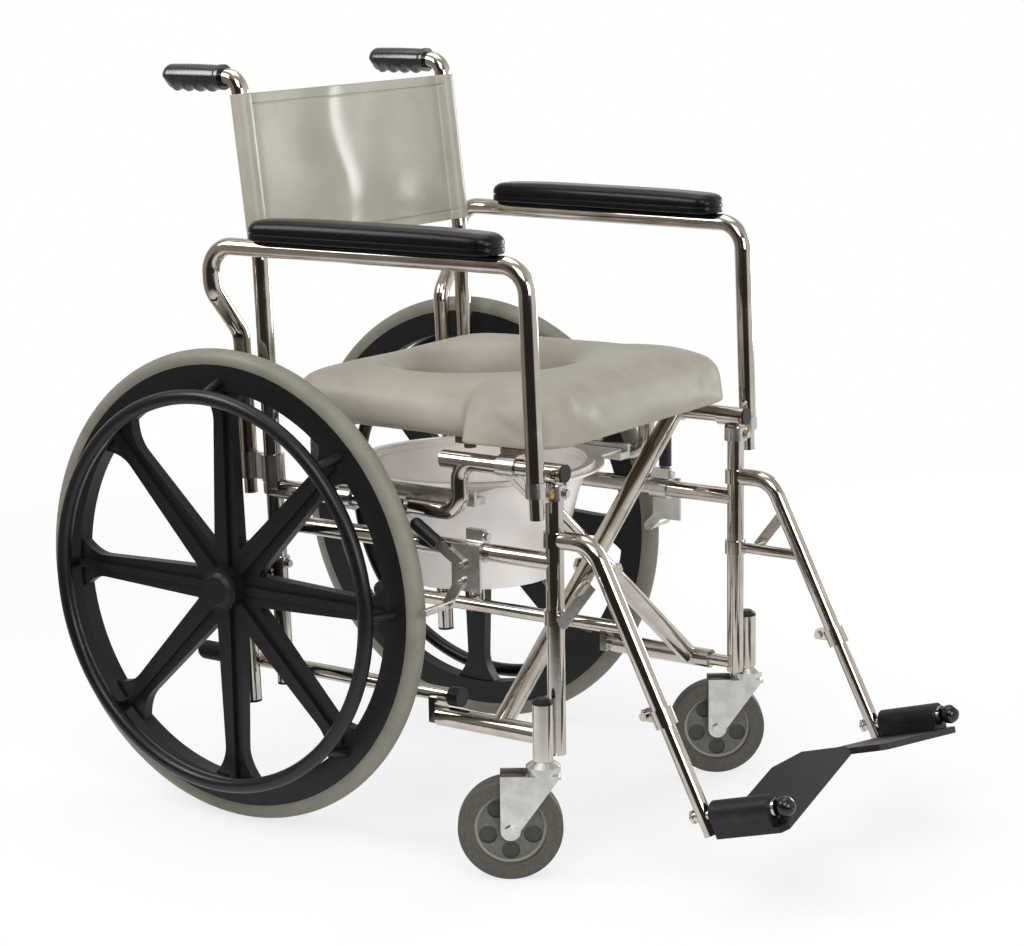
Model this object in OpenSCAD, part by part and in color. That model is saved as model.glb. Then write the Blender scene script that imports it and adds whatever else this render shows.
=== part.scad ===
// Shower commode chair: tubular side frames on moulded wheels and swivel casters, a cross brace,
// a padded seat over a slide-out pan, a sling back, lift-off arms and swing-away footrests.
// Millimetres. The rear axle is the zero of every depth, the floor of every height, and the chair's
// middle of every width. The chair faces -Y, +Z is up and the user's right side is -X.

/* [Frame] */
// Outside diameter of the frame tubes
tube_od = 22; // [21:0.5:23]
// Wall of the frame tubes
tube_wall = 1.6; // [1.3:0.1:2]
// Centre plane of each side frame, from the chair's middle
frame_x = 212; // [206:1:220]
// Depth of the front uprights
upright_y = -460; // [-470:1:-450]
// Height of the uprights' lower ends
upright_foot_z = 146; // [144:1:150]
// Height of the mid rails
mid_rail_z = 383; // [375:1:390]
// Rearward lean of the back posts and arm legs, in degrees
lean = 2; // [1:0.5:3]
// Depth of the back posts at axle height
post_y = -33.6; // [-36:0.2:-32]
// Height of the back posts' lower ends
post_foot_z = 172; // [168:1:174]
// Depth of the rear axle posts at axle height
axle_post_y = 24; // [23:0.5:28]
// Height of the axle posts' lower ends
axle_post_foot_z = 139; // [130:1:150]
// Height of the axle posts' upper ends
axle_post_top_z = 345; // [342:1:350]
// Diameter of the tipping rods
rod_d = 19; // [18:0.5:19]
// Centre plane of the tipping rods
rod_x = 190; // [189:0.5:190]
// Height of the tipping rods
rod_z = 185.5; // [185:0.5:188]
// Rear end of the tipping rods
rod_rear_y = 120; // [110:1:125]
// Front end of the tipping rods
rod_front_y = -296; // [-300:1:-292]

/* [Cross brace] */
// Diameter of the two crossing tubes and their hinge sleeves
brace_od = 25; // [24:0.5:25]
// Centre plane of the hinge sleeves
sleeve_x = 200; // [199:0.5:202]
// Height of the hinge sleeves
sleeve_z = 161; // [160:0.5:162]
// Rear and front ends of the hinge sleeves
sleeve_ends_y = [-276, -430];
// Diameter of the rods that the sleeves turn on
hinge_rod_d = 16; // [15:0.5:17]
// Depth of the rear crossing tube, which starts on the right
brace_rear_y = -368; // [-370:1:-366]
// Depth of the front crossing tube, which starts on the left
brace_front_y = -396; // [-398:1:-395]
// Diameter of the bolt where the tubes cross
cross_bolt_d = 10; // [8:1:11]

/* [Seat rails] */
// Height of the raised front part of the seat rails
seat_rail_z = 492; // [490:1:494]
// Height of the dropped rear part
drop_rail_z = 427; // [424:1:430]
// Depth of the drop
drop_y = -322; // [-324:1:-320]
// Front end of the seat rails
rail_front_y = -474; // [-478:1:-472]
// Rear end of the seat rails
rail_rear_y = -46; // [-48:1:-44]
// Bend radius of the drop
drop_bend_r = 24; // [20:1:26]

/* [Rear wheels] */
// Tyre diameter
wheel_d = 610; // [606:1:612]
// Centre plane of each wheel
wheel_x = 267; // [266:1:270]
// Diameter of the tyre's cross section
tyre_section_d = 25; // [24:0.5:27]
// Outside diameter of the moulded rim
rim_od = 572; // [570:1:574]
// Inside diameter of the rim
rim_id = 508; // [500:1:514]
// Width of the rim
rim_w = 22; // [20:1:24]
// Number of spokes
spokes = 8; // [6:1:8]
// Spoke width at the hub and at the rim
spoke_widths = [43, 26];
// Spoke thickness
spoke_t = 15; // [13:1:17]
// Diameter and length of the hub
hub_size = [58, 56];
// Pushrim diameter, to the middle of its section
pushrim_d = 501; // [496:1:506]
// Diameter of the pushrim's section
pushrim_section_d = 19; // [17:1:20]
// Distance of the pushrim from the wheel's centre plane
pushrim_out = 45; // [42:1:47]
// Diameter of the axle
axle_d = 12.7; // [12:0.1:13]

/* [Casters] */
// Caster diameter
caster_d = 127; // [124:1:128]
// Width of the caster tyre
caster_w = 28; // [26:1:30]
// Centre plane of the caster stems
caster_x = 242; // [240:1:244]
// Trail of the caster axle behind its stem
caster_trail = 40; // [36:1:42]
// Swivel of both casters in the drawn pose, in degrees
caster_swivel = 35; // [0:1:60]
// Outside diameter of the stem housings
housing_od = 25; // [24:0.5:27]
// Height of the stem housings
housing_h = 70; // [66:1:72]
// Diameter of the caster stems
stem_d = 14; // [13:0.5:15]

/* [Back] */
// Height where the back posts bend further rearward
back_bend_z = 718; // [714:1:720]
// Depth and height of the corner where post turns into push handle
handle_corner = [7, 943];
// Rear end of the handle tubes
handle_rear_y = 120; // [116:1:122]
// Bend radius at the push handles
handle_bend_r = 20; // [18:1:21]
// Bottom and top of the sling
sling_z = [727, 923];
// Thickness of the sling's cloth
sling_t = 2; // [1.6:0.1:2.4]

/* [Armrests] */
// Centre plane of the arms' front legs
arm_front_x = 247; // [246:1:249]
// Centre plane of the arms' rear legs
arm_rear_x = 213; // [212:1:215]
// Centre plane of the arm rail at its rear corner
arm_rail_rear_x = 263; // [260:1:265]
// Height of the arm rail
arm_rail_z = 739; // [734:1:744]
// Depth of the front leg at its lower end
arm_front_y = -459; // [-461:1:-457]
// Depth of the rear leg at its lower end
arm_rear_y = 9; // [8.5:0.5:10]
// Lower ends of the front and rear legs
arm_foot_z = [441, 416];
// Shoulders where the legs rest on their sockets, front and rear
arm_shoulder_z = [486, 470];
// Diameter of the reduced leg ends
stub_d = 16.8; // [16:0.2:17.4]
// Bend radius of the arm's corners
arm_bend_r = 34; // [32:1:35]
// Height of the rear leg's outward step, lower and upper bend
arm_step_z = [622, 684];
// Length, width and height of the arm pads
pad_size = [378, 52, 28];
// Depth of the middle of the arm pads
pad_y = -232; // [-236:1:-228]

/* [Footrests] */
// Angle of the hangers from the vertical, in degrees
hanger_rake = 26.5; // [25:0.5:28]
// Depth and height of the hangers' upper corner
hanger_corner = [-514, 411];
// Lower end of the hangers
hanger_foot_z = 206; // [202:1:212]
// Heights of the two hinge rings round the upright
ring_z = [411, 316];
// Height of a hinge ring
ring_h = 18; // [16:1:20]
// Diameter of the sliding footrest tubes
leg_tube_d = 18.6; // [18.6:0.02:18.66]
// Upper and lower ends of the footrest tubes
leg_tube_z = [292, 84];
// Height of the footplate pivot
foot_z = 106; // [104:1:110]
// Upward tilt of the footplate pivot, in degrees
foot_lift = 16; // [14:1:18]
// Tilt of the right and left footplates in the drawn pose, in degrees
foot_tilts = [14, 8];
// Diameter and length of the footplate's sleeve
foot_sleeve = [33, 80];
// Width, length and thickness of a footplate
plate_size = [190, 96, 8];
// Diameter of the footplate pivot
foot_pin_d = 14; // [12:0.5:16]
// Diameter of the ball at the pivot's front end
foot_ball_d = 24; // [22:1:26]

/* [Brakes] */
// Depth of the brakes' clamps on the mid rails
brake_y = -346; // [-348:1:-344]
// Rearward angle of the right and left brake levers in the drawn pose, in degrees
brake_angles = [58, 0];
// Turn of the right and left brake shoes from their parked place, in degrees
shoe_turns = [0, 12.2];
// Length of the levers from pivot to grip end
lever_len = 86; // [80:1:90]

/* [Seat] */
// Width, depth and thickness of the cushion
seat_size = [440, 424, 70];
// Rear edge of the cushion
seat_rear_y = -40; // [-44:1:-36]
// Width and depth of the opening
seat_hole = [206, 214];
// Depth of the opening's middle
seat_hole_y = -204; // [-208:1:-200]
// Thickness of the seat board
board_t = 8; // [7:0.5:9]

/* [Pan] */
// Outside diameter of the pan's rim
pan_rim_d = 340; // [334:1:342]
// Outside diameter of the bowl at its top and at its bottom
pan_bowl_d = [296, 214];
// Depth of the bowl
pan_depth = 142; // [136:1:146]
// Wall of the pan
pan_wall = 3; // [2.6:0.1:3.4]
// Depth of the pan's middle
pan_y = -190; // [-194:1:-188]

/* [Fits] */
// Gap between pieces that do not touch
fit_gap = 0.3; // [0.25:0.05:0.4]
// Radial clearance of turning and sliding fits
run_gap = 0.06; // [0.04:0.01:0.09]

/* [Hidden] */

$fn = 64;
steel = "silver";
zinc = "lightgray";
black = "#1b1b1d";
vinyl = "#a5a396";
white = "#f0eae6";
brass = "#b08d4a";

axle_z = wheel_d / 2;
tube_r = tube_od / 2;
tube_id = tube_od - 2 * tube_wall;
caster_r = caster_d / 2;
// Small overlap that lets a cut or a joined piece pass clean through a face
bite = 1;
// How much thicker a bend is than the straights of its tube, all round
bend_swell = 0.05;
// Wall of clamps, rings and saddles
ring_wall = 3;
// Thickness of flat brackets
bracket_t = 4;
// Diameter of small bolts and the size of their heads
bolt_d = 6;
bolt_head = [10, 4];
// Fillet-like flare of a spoke where it meets the hub, and the wider one at the rim
spoke_flare = 16;
spoke_rim_flare = 42;
spoke_ridge = [10, 5];
flare_steps = 8;
bearing_size = [30, 9];
// Step that each bearing seats against
bearing_lip = 4;
// Inner and outer lengths of the axle bush, from the side frame's centre plane
bush_len = [16, 18];
// Part of the hub that stays closed outside the outer bearing
hub_cap_t = 6;
standoff_d = 13;
fork_plate_t = 3;
fork_gap = 2;
fork_head_d = 42;
fork_head_h = 15;
fork_eye_d = 24;
caster_axle_d = 8;
caster_hub_d = 26;
caster_rim_d = 88;
caster_web_t = 9;
caster_bolt_head = [15, 4];
saddle_len = 34;
// Width of the bands round the raised rails, on which the brace's tubes end
band_w = 26;
socket_h = 18;
socket_wall = 4;
socket_web_t = 12;
// Sprung buttons of the arms: pin, head, travel and place
button_d = 6;
button_head = [8, 3];
button_travel = 4;
button_z = seat_rail_z - tube_r - ring_wall - fit_gap - socket_h / 2;
button_x = 231.4;
grip_d = 32;
grip_len = 98;
grip_lobe_d = 20;
grip_lobes = 4;
grip_lobe_drop = 9;
tip_d = 25;
tip_len = 56;
plug_len = 8;
// Straight stretch of the hanger that the footrest tube can slide up into
leg_room = 160;
// Hanger latches: pivot, distance out from the hanger, pin, length, width, thickness and slope
latch_at = [-484, 316];
latch_out = 17;
latch_pin_d = 6;
latch_len = 64;
latch_w = 14;
latch_t = 3;
latch_slope = 128;
// Brakes: clamp width, distance of the plate, pivots of lever and shoe, parked place of the shoe
brake_clamp_w = 26;
brake_plate_x = 16;
lever_pivot = [-338, 370];
shoe_pivot = [-336, 348];
shoe_at = [-316.4, 316];
brake_pin_d = 6;
shoe_d = 10;
// How far the shoe reaches past the tyre's outer side
shoe_past = 4;
lever_t = 4;
// Seat: middle of its depth, underside of the board, rear edge of the front block
board_z = seat_rail_z + tube_r + ring_wall + fit_gap;
block_rear_y = -329;
// How far the board's rear feet stand inboard of the rails' middle
foot_inset = 6;
// Height on which the pan's flange slides
pan_flange_z = 436;
// The front of the ball sets the chair's length, so the middle of the length follows from it
foot_y = hanger_corner[0] - (hanger_corner[1] - foot_z) * tan(hanger_rake);
foot_sleeve_start = 16;
ball_stand = 16;
ball_at = foot_sleeve_start + foot_sleeve[1] + ball_stand;
front_y = foot_y - ball_at * cos(foot_lift) - foot_ball_d / 2;
shift_y = -(axle_z + front_y) / 2;

// Depth of the leaning posts at a height
function lean_y(y, z) = y + (z - axle_z) * tan(lean);
function arm_y(y, foot, z) = y + (z - foot) * tan(lean);
function hanger_y(z) = hanger_corner[0] - (hanger_corner[1] - z) * tan(hanger_rake);
function unit(v) = v / norm(v);
// A direction at right angles to a given one
function across(d) = unit(cross(abs(d[2]) < cos(45) ? [0, 0, 1] : [1, 0, 0], d));
// A placing matrix from three axes and an origin
function placed(a, b, c, o) = [
    [a[0], b[0], c[0], o[0]], [a[1], b[1], c[1], o[1]], [a[2], b[2], c[2], o[2]], [0, 0, 0, 1]];

// Puts children on the left side as drawn, or mirrored on the right side
module on_side(s) {
    translate([0, shift_y, 0])
        if (s > 0) children();
        else mirror([1, 0, 0]) children();
}

module in_middle() {
    translate([0, shift_y, 0]) children();
}

module both_sides() {
    for (s = [-1, 1]) on_side(s) children();
}

// A round bar between two points
module bar(p, q, d) {
    w = unit(q - p);
    a = across(w);
    multmatrix(placed(a, cross(w, a), w, p)) cylinder(d = d, h = norm(q - p));
}

// A round bar along a line of points, with a bend of radius r at each inner point. A bend is a hair
// thicker than the straights, which run a little way into it.
module bent_bar(pts, d, r) {
    last = len(pts) - 1;
    dirs = [for (i = [0:last - 1]) unit(pts[i + 1] - pts[i])];
    turns = [for (i = [0:last]) i == 0 || i == last ? 0 : acos(dirs[i - 1] * dirs[i])];
    backs = [for (t = turns) t == 0 ? 0 : r * tan(t / 2) - bite];
    for (i = [0:last - 1]) bar(pts[i] + dirs[i] * backs[i], pts[i + 1] - dirs[i] * backs[i + 1], d);
    for (i = [1:last - 1]) {
        centre = pts[i] + unit(dirs[i] - dirs[i - 1]) * r / cos(turns[i] / 2);
        out = unit(pts[i] - dirs[i - 1] * r * tan(turns[i] / 2) - centre);
        multmatrix(placed(out, dirs[i - 1], cross(out, dirs[i - 1]), centre))
            rotate_extrude(angle = turns[i]) translate([r, 0]) circle(d = d + 2 * bend_swell);
    }
}

// The same line of points with both ends moved out by e
function longer(pts, e) = let (n = len(pts) - 1)
    [for (i = [0:n]) i == 0 ? pts[0] - unit(pts[1] - pts[0]) * e
        : i == n ? pts[n] + unit(pts[n] - pts[n - 1]) * e : pts[i]];

module bent_tube(pts, d, wall, r) {
    difference() {
        bent_bar(pts, d, r);
        bent_bar(longer(pts, bite), d - 2 * wall, r);
    }
}

// A ring with its axis along +Z, its middle at the origin
module ring(inner, outer, h) {
    difference() {
        cylinder(d = outer, h = h, center = true);
        cylinder(d = inner, h = h + 2 * bite, center = true);
    }
}

// A bolt with round heads at both ends, along +X from the origin
module bolt(length, d = bolt_d, head = bolt_head) {
    rotate([0, 90, 0]) {
        cylinder(d = d, h = length);
        translate([0, 0, -head[1]]) cylinder(d = head[0], h = head[1], $fn = 6);
        translate([0, 0, length]) cylinder(d = head[0], h = head[1]);
    }
}

// The leaning lower part of a back post, as a solid of a given diameter
module post_body(d) {
    bar([frame_x, lean_y(post_y, post_foot_z), post_foot_z],
        [frame_x, lean_y(post_y, back_bend_z), back_bend_z], d);
}

// FRAME

module side_frame(s) on_side(s) color(steel) {
    web_h = 46;
    web_t = 8;
    top_z = seat_rail_z - tube_r;
    rail_rear = lean_y(post_y, mid_rail_z);
    saddle_d = tube_od + 2 * fit_gap + 2 * ring_wall;
    difference() {
        union() {
            translate([frame_x, upright_y, upright_foot_z])
                cylinder(d = tube_od, h = top_z - upright_foot_z);
            bar([frame_x, upright_y, mid_rail_z], [frame_x, rail_rear, mid_rail_z], tube_od);
            translate([caster_x, upright_y, upright_foot_z]) cylinder(d = housing_od, h = housing_h);
            translate([frame_x, upright_y - web_t / 2, upright_foot_z + bracket_t])
                cube([caster_x - frame_x, web_t, web_h]);
            intersection() {
                bar([frame_x, upright_y - tube_r, seat_rail_z],
                    [frame_x, upright_y - tube_r + saddle_len, seat_rail_z], saddle_d);
                translate([frame_x - saddle_d, upright_y - saddle_len, seat_rail_z - saddle_d])
                    cube([2 * saddle_d, 3 * saddle_len, saddle_d]);
            }
        }
        translate([frame_x, upright_y, upright_foot_z - bite])
            cylinder(d = tube_id, h = top_z - upright_foot_z + bite);
        bar([frame_x, upright_y + tube_r, mid_rail_z], [frame_x, rail_rear, mid_rail_z], tube_id);
        translate([caster_x, upright_y, upright_foot_z - bite])
            cylinder(d = stem_d + 2 * run_gap, h = housing_h + 2 * bite);
        bar([frame_x, rail_front_y, seat_rail_z], [frame_x, drop_y, seat_rail_z], tube_od + 2 * fit_gap);
        post_body(tube_od + 2 * run_gap);
    }
}

module back_post(s) on_side(s) color(steel)
    bent_tube([
        [frame_x, lean_y(post_y, post_foot_z), post_foot_z],
        [frame_x, lean_y(post_y, back_bend_z), back_bend_z],
        [frame_x, handle_corner[0], handle_corner[1]],
        [frame_x, handle_rear_y, handle_corner[1]]], tube_od, tube_wall, handle_bend_r);

// Short tube behind each back post, and the plate between the two that carries the axle
module axle_post(s) on_side(s) color(steel) {
    plate_h = 64;
    plate_t = 6;
    clamp_h = 14;
    bush_d = axle_d + 2 * (ring_wall + fit_gap);
    foot = [frame_x, lean_y(axle_post_y, axle_post_foot_z), axle_post_foot_z];
    top = [frame_x, lean_y(axle_post_y, axle_post_top_z), axle_post_top_z];
    difference() {
        union() {
            bar(foot, top, tube_od);
            translate([frame_x - plate_t / 2, post_y, axle_z - plate_h / 2])
                cube([plate_t, axle_post_y - post_y, plate_h]);
            for (e = [-1, 1])
                translate([frame_x, lean_y(post_y, axle_z + e * (plate_h - clamp_h) / 2), axle_z])
                    translate([0, 0, e * (plate_h - clamp_h) / 2]) rotate([-lean, 0, 0])
                        cylinder(d = tube_od + 2 * ring_wall, h = clamp_h, center = true);
            bar([frame_x - bush_len[0], 0, axle_z], [frame_x + bush_len[1], 0, axle_z], bush_d);
        }
        bar(foot - (top - foot), top, tube_id);
        post_body(tube_od + 2 * run_gap);
        bar([frame_x - plate_h, 0, axle_z], [frame_x + plate_h, 0, axle_z], axle_d + 2 * run_gap);
    }
}

// Rod low on each side for tipping the chair, with the fixed rod under it for the brace's hinge
module tipping_rod(s) on_side(s) color(steel) {
    link_t = 10;
    link_y = sleeve_ends_y[0] + fit_gap;
    lug_w = 16;
    difference() {
        union() {
            bar([rod_x, rod_rear_y, rod_z], [rod_x, rod_front_y, rod_z], rod_d);
            bar([sleeve_x, link_y + link_t, sleeve_z], [sleeve_x, upright_y, sleeve_z], hinge_rod_d);
            translate([rod_x - rod_d / 2, link_y, sleeve_z - hinge_rod_d / 2])
                cube([sleeve_x - rod_x + rod_d, link_t, rod_z - sleeve_z + hinge_rod_d / 2]);
            translate([rod_x, lean_y(post_y, rod_z) - lug_w / 2, rod_z - lug_w / 2])
                cube([frame_x - rod_x, lug_w, lug_w]);
        }
        bar([frame_x, upright_y, 0], [frame_x, upright_y, seat_rail_z], tube_od + 2 * run_gap);
        post_body(tube_od + 2 * run_gap);
    }
}

// One tube of the cross brace: hinge sleeve low on side s, upper end under the other seat rail
module cross_member(s) on_side(s) color(steel) {
    y = s < 0 ? brace_rear_y : brace_front_y;
    low = [sleeve_x, y, sleeve_z];
    high = [-frame_x, y, seat_rail_z];
    difference() {
        union() {
            bar([sleeve_x, sleeve_ends_y[0], sleeve_z], [sleeve_x, sleeve_ends_y[1], sleeve_z], brace_od);
            difference() {
                bar(low, high, brace_od);
                bar(low, high + unit(high - low) * tube_od, brace_od - 2 * tube_wall);
            }
        }
        bar([sleeve_x, 0, sleeve_z], [sleeve_x, upright_y, sleeve_z], hinge_rod_d + 2 * fit_gap);
        bar([-frame_x, 0, seat_rail_z], [-frame_x, rail_front_y, seat_rail_z],
            tube_od + 2 * (ring_wall + run_gap));
        translate([-frame_x - brace_od, rail_front_y, seat_rail_z])
            cube([2 * brace_od, -rail_front_y, 2 * brace_od]);
        cross_bolt_bar(cross_bolt_d + 2 * run_gap, brace_od);
    }
}

// Depth of the band on side s, under which the crossing tube from the other side ends
function band_y(s) = s < 0 ? brace_front_y : brace_rear_y;

// The place where the two crossing tubes meet, seen from the front
function crossing_z() = sleeve_z + (seat_rail_z - sleeve_z) * sleeve_x / (sleeve_x + frame_x);

module cross_bolt_bar(d, extra) {
    bar([0, brace_rear_y + brace_od / 2 + extra, crossing_z()],
        [0, brace_front_y - brace_od / 2 - extra, crossing_z()], d);
}

module cross_bolt() in_middle() color(zinc) {
    head_h = 5;
    washer_t = (brace_rear_y - brace_front_y - brace_od) / 2;
    cross_bolt_bar(cross_bolt_d, head_h);
    for (y = [brace_rear_y + brace_od / 2, brace_front_y - brace_od / 2 - head_h])
        translate([0, y + head_h, crossing_z()]) rotate([90, 0, 0])
            cylinder(d = 2 * cross_bolt_d, h = head_h, $fn = 6);
    translate([0, (brace_rear_y + brace_front_y) / 2, crossing_z()]) rotate([90, 0, 0])
        cylinder(d = 2 * cross_bolt_d, h = 2 * washer_t - fit_gap, center = true);
}

module seat_rail(s) on_side(s) color(steel)
    bent_tube([
        [frame_x, rail_front_y, seat_rail_z], [frame_x, drop_y, seat_rail_z],
        [frame_x, drop_y, drop_rail_z], [frame_x, rail_rear_y, drop_rail_z]],
        tube_od, tube_wall, drop_bend_r);

// Bands round the raised rails, and the hooks on the back posts that hold the rails' rear ends
module rail_saddles() color(zinc) for (s = [-1, 1]) on_side(s) {
    hook_len = 22;
    hook_ring_h = 14;
    hook_d = tube_od + 2 * ring_wall;
    post_at = lean_y(post_y, drop_rail_z);
    translate([frame_x, band_y(s), seat_rail_z]) rotate([90, 0, 0])
        ring(tube_od + 2 * run_gap, tube_od + 2 * ring_wall, band_w);
    difference() {
        union() {
            intersection() {
                bar([frame_x, post_at, drop_rail_z], [frame_x, rail_rear_y - hook_len, drop_rail_z], hook_d);
                translate([frame_x - hook_d, post_at - hook_d * 2, drop_rail_z - hook_d])
                    cube([2 * hook_d, 3 * hook_d, hook_d]);
            }
            translate([frame_x, post_at, drop_rail_z]) rotate([-lean, 0, 0])
                cylinder(d = hook_d, h = hook_ring_h, center = true);
        }
        bar([frame_x, rail_rear_y + fit_gap, drop_rail_z],
            [frame_x, rail_rear_y - 2 * hook_len, drop_rail_z], tube_od + 2 * run_gap);
        post_body(tube_od + 2 * run_gap);
    }
}

// Brackets on the uprights that the arms' front legs drop into
module front_sockets() color(zinc) both_sides() {
    z = arm_shoulder_z[0] - socket_h / 2 - fit_gap;
    leg_y = arm_y(arm_front_y, arm_foot_z[0], z);
    upright_z = seat_rail_z - tube_r - ring_wall - fit_gap - socket_h;
    difference() {
        union() {
            translate([arm_front_x, leg_y, z]) rotate([-lean, 0, 0])
                cylinder(d = stub_d + 2 * socket_wall, h = socket_h, center = true);
            translate([frame_x, upright_y, upright_z])
                cylinder(d = tube_od + 2 * socket_wall, h = socket_h);
            translate([frame_x, leg_y - socket_web_t / 2, upright_z])
                cube([arm_front_x - frame_x, socket_web_t, socket_h]);
        }
        arm_stub(0, stub_d + 2 * run_gap, socket_h);
        bar([frame_x, upright_y, upright_foot_z], [frame_x, upright_y, seat_rail_z], tube_od + 2 * run_gap);
        arm_button_bar(button_d + 2 * run_gap, socket_web_t + button_head[1]);
    }
}

// Cups on the back posts that the arms' rear legs drop into
module rear_sockets() color(zinc) both_sides() {
    cup_h = 34;
    web_t = 8;
    z = arm_shoulder_z[1] - cup_h / 2 - fit_gap;
    leg_y = arm_y(arm_rear_y, arm_foot_z[1], z);
    post_at = lean_y(post_y, z);
    difference() {
        union() {
            translate([arm_rear_x, leg_y, z]) rotate([-lean, 0, 0])
                cylinder(d = stub_d + 2 * socket_wall, h = cup_h, center = true);
            translate([frame_x, post_at, z]) rotate([-lean, 0, 0])
                cylinder(d = tube_od + 2 * socket_wall, h = cup_h, center = true);
            translate([frame_x - web_t / 2, post_at, z - cup_h / 2]) cube([web_t, leg_y - post_at, cup_h]);
        }
        arm_stub(1, stub_d + 2 * run_gap, cup_h);
        post_body(tube_od + 2 * run_gap);
    }
}

// The reduced end of an arm leg, front or rear, as a solid that reaches past both ends by e
module arm_stub(end, d, e = 0) {
    x = end == 0 ? arm_front_x : arm_rear_x;
    y = end == 0 ? arm_front_y : arm_rear_y;
    foot = arm_foot_z[end];
    top = arm_shoulder_z[end] + bite;
    bar([x, arm_y(y, foot, foot - e), foot - e], [x, arm_y(y, foot, top + e), top + e], d);
}

// Cloth back: a panel with a sleeve round each back post
module back_sling() in_middle() color(vinyl) {
    rake = atan((handle_corner[0] - lean_y(post_y, back_bend_z)) / (handle_corner[1] - back_bend_z));
    sleeve_in = tube_od + 2 * fit_gap;
    sleeve_out = sleeve_in + 2 * sling_t;
    length = (sling_z[1] - sling_z[0]) / cos(rake);
    sag = 9;
    half = frame_x - sleeve_in / 2;
    sag_r = (half * half + sag * sag) / (2 * sag);
    translate([0, lean_y(post_y, back_bend_z), back_bend_z]) rotate([-rake, 0, 0])
        translate([0, 0, (sling_z[0] - back_bend_z) / cos(rake)]) linear_extrude(height = length) {
            difference() {
                for (s = [-1, 1]) translate([s * frame_x, 0]) circle(d = sleeve_out);
                for (s = [-1, 1]) translate([s * frame_x, 0]) circle(d = sleeve_in);
            }
            intersection() {
                translate([0, sag - sag_r]) difference() {
                    circle(r = sag_r + sling_t / 2, $fn = 240);
                    circle(r = sag_r - sling_t / 2, $fn = 240);
                }
                translate([-half, 0]) square([2 * half, 2 * sag]);
            }
        }
}

module hand_grips() color(black) both_sides() {
    start = handle_rear_y + plug_len - grip_len;
    z = handle_corner[1];
    pitch = grip_len / (grip_lobes + 1);
    difference() {
        union() {
            bar([frame_x, start, z], [frame_x, start + grip_len, z], grip_d);
            for (i = [1:grip_lobes])
                translate([frame_x, start + i * pitch, z - grip_lobe_drop]) rotate([0, 90, 0])
                    cylinder(d = grip_lobe_d, h = grip_d / 2, center = true);
        }
        bar([frame_x, start - bite, z], [frame_x, handle_rear_y + fit_gap, z], tube_od + 2 * run_gap);
    }
}

// Rubber tips on the rear ends of the tipping rods
module rubber_tips() color(black) both_sides() {
    start = rod_rear_y + plug_len - tip_len;
    difference() {
        union() {
            bar([rod_x, start, rod_z], [rod_x, start + tip_len - tip_d / 2, rod_z], tip_d);
            translate([rod_x, start + tip_len - tip_d / 2, rod_z]) sphere(d = tip_d);
        }
        bar([rod_x, start - bite, rod_z], [rod_x, rod_rear_y, rod_z], rod_d + 2 * run_gap);
    }
}

// Plastic plugs in the open tube ends
module tube_plugs() color(black) both_sides() {
    cap_t = 3;
    lift = 4;
    translate([frame_x, rail_front_y, seat_rail_z]) rotate([90, 0, 0]) plug(tube_od, tube_id, cap_t);
    translate([caster_x, upright_y, upright_foot_z + housing_h]) {
        cylinder(d = housing_od, h = cap_t);
        translate([0, 0, cap_t]) cylinder(d1 = housing_od, d2 = stem_d, h = lift);
    }
    translate([rod_x, rod_front_y, rod_z]) rotate([90, 0, 0]) difference() {
        cylinder(d = rod_d + 2 * ring_wall, h = 2 * plug_len, center = true);
        translate([0, 0, -2 * plug_len]) cylinder(d = rod_d + 2 * run_gap, h = 2 * plug_len);
    }
    translate([frame_x, lean_y(axle_post_y, axle_post_top_z), axle_post_top_z]) rotate([-lean, 0, 0])
        plug(tube_od, tube_id, cap_t);
    translate([frame_x, lean_y(axle_post_y, axle_post_foot_z), axle_post_foot_z]) rotate([180 - lean, 0, 0])
        plug(tube_od, tube_id, cap_t);
    translate([frame_x, lean_y(post_y, post_foot_z), post_foot_z]) rotate([180 - lean, 0, 0])
        plug(tube_od, tube_id, cap_t);
}

// A plug whose cap stands on +Z and whose body goes down into the tube
module plug(outer, inner, cap_t) {
    cylinder(d = outer, h = cap_t);
    translate([0, 0, -plug_len]) cylinder(d = inner - 2 * run_gap, h = plug_len);
}

// Small bolts that hold the brackets
module frame_bolts() color(zinc) both_sides() {
    socket_z = seat_rail_z - tube_r - ring_wall - fit_gap - socket_h / 2;
    clamp_y = lean_y(post_y, axle_z) - tube_r - ring_wall;
    front = upright_y - tube_r - socket_wall;
    for (z = [axle_z - bolt_d * 4, axle_z + bolt_d * 4])
        translate([frame_x, lean_y(post_y, z) - tube_r - ring_wall - fit_gap, z]) rotate([0, 0, 90])
            mirror([1, 0, 0]) screw();
    translate([frame_x, front - fit_gap, socket_z]) rotate([0, 0, 90]) mirror([1, 0, 0]) screw();
    translate([frame_x, brake_y - brake_clamp_w / 2 - fit_gap, mid_rail_z + tube_r + 2 * bracket_t])
        rotate([0, 0, 90]) mirror([1, 0, 0]) screw();
}

// A screw head with its washer, on the plane x = 0 and standing out along +X
module screw() {
    washer_t = 1;
    rotate([0, 90, 0]) {
        cylinder(d = bolt_head[0] + 2 * washer_t, h = washer_t);
        translate([0, 0, washer_t]) cylinder(d = bolt_head[0], h = bolt_head[1], $fn = 6);
    }
}

// REAR WHEELS

// Places children with the wheel's axis along +Z, pointing outward, its centre plane at zero
module at_wheel(s) on_side(s) translate([wheel_x, 0, axle_z]) rotate([0, 90, 0]) children();

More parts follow.
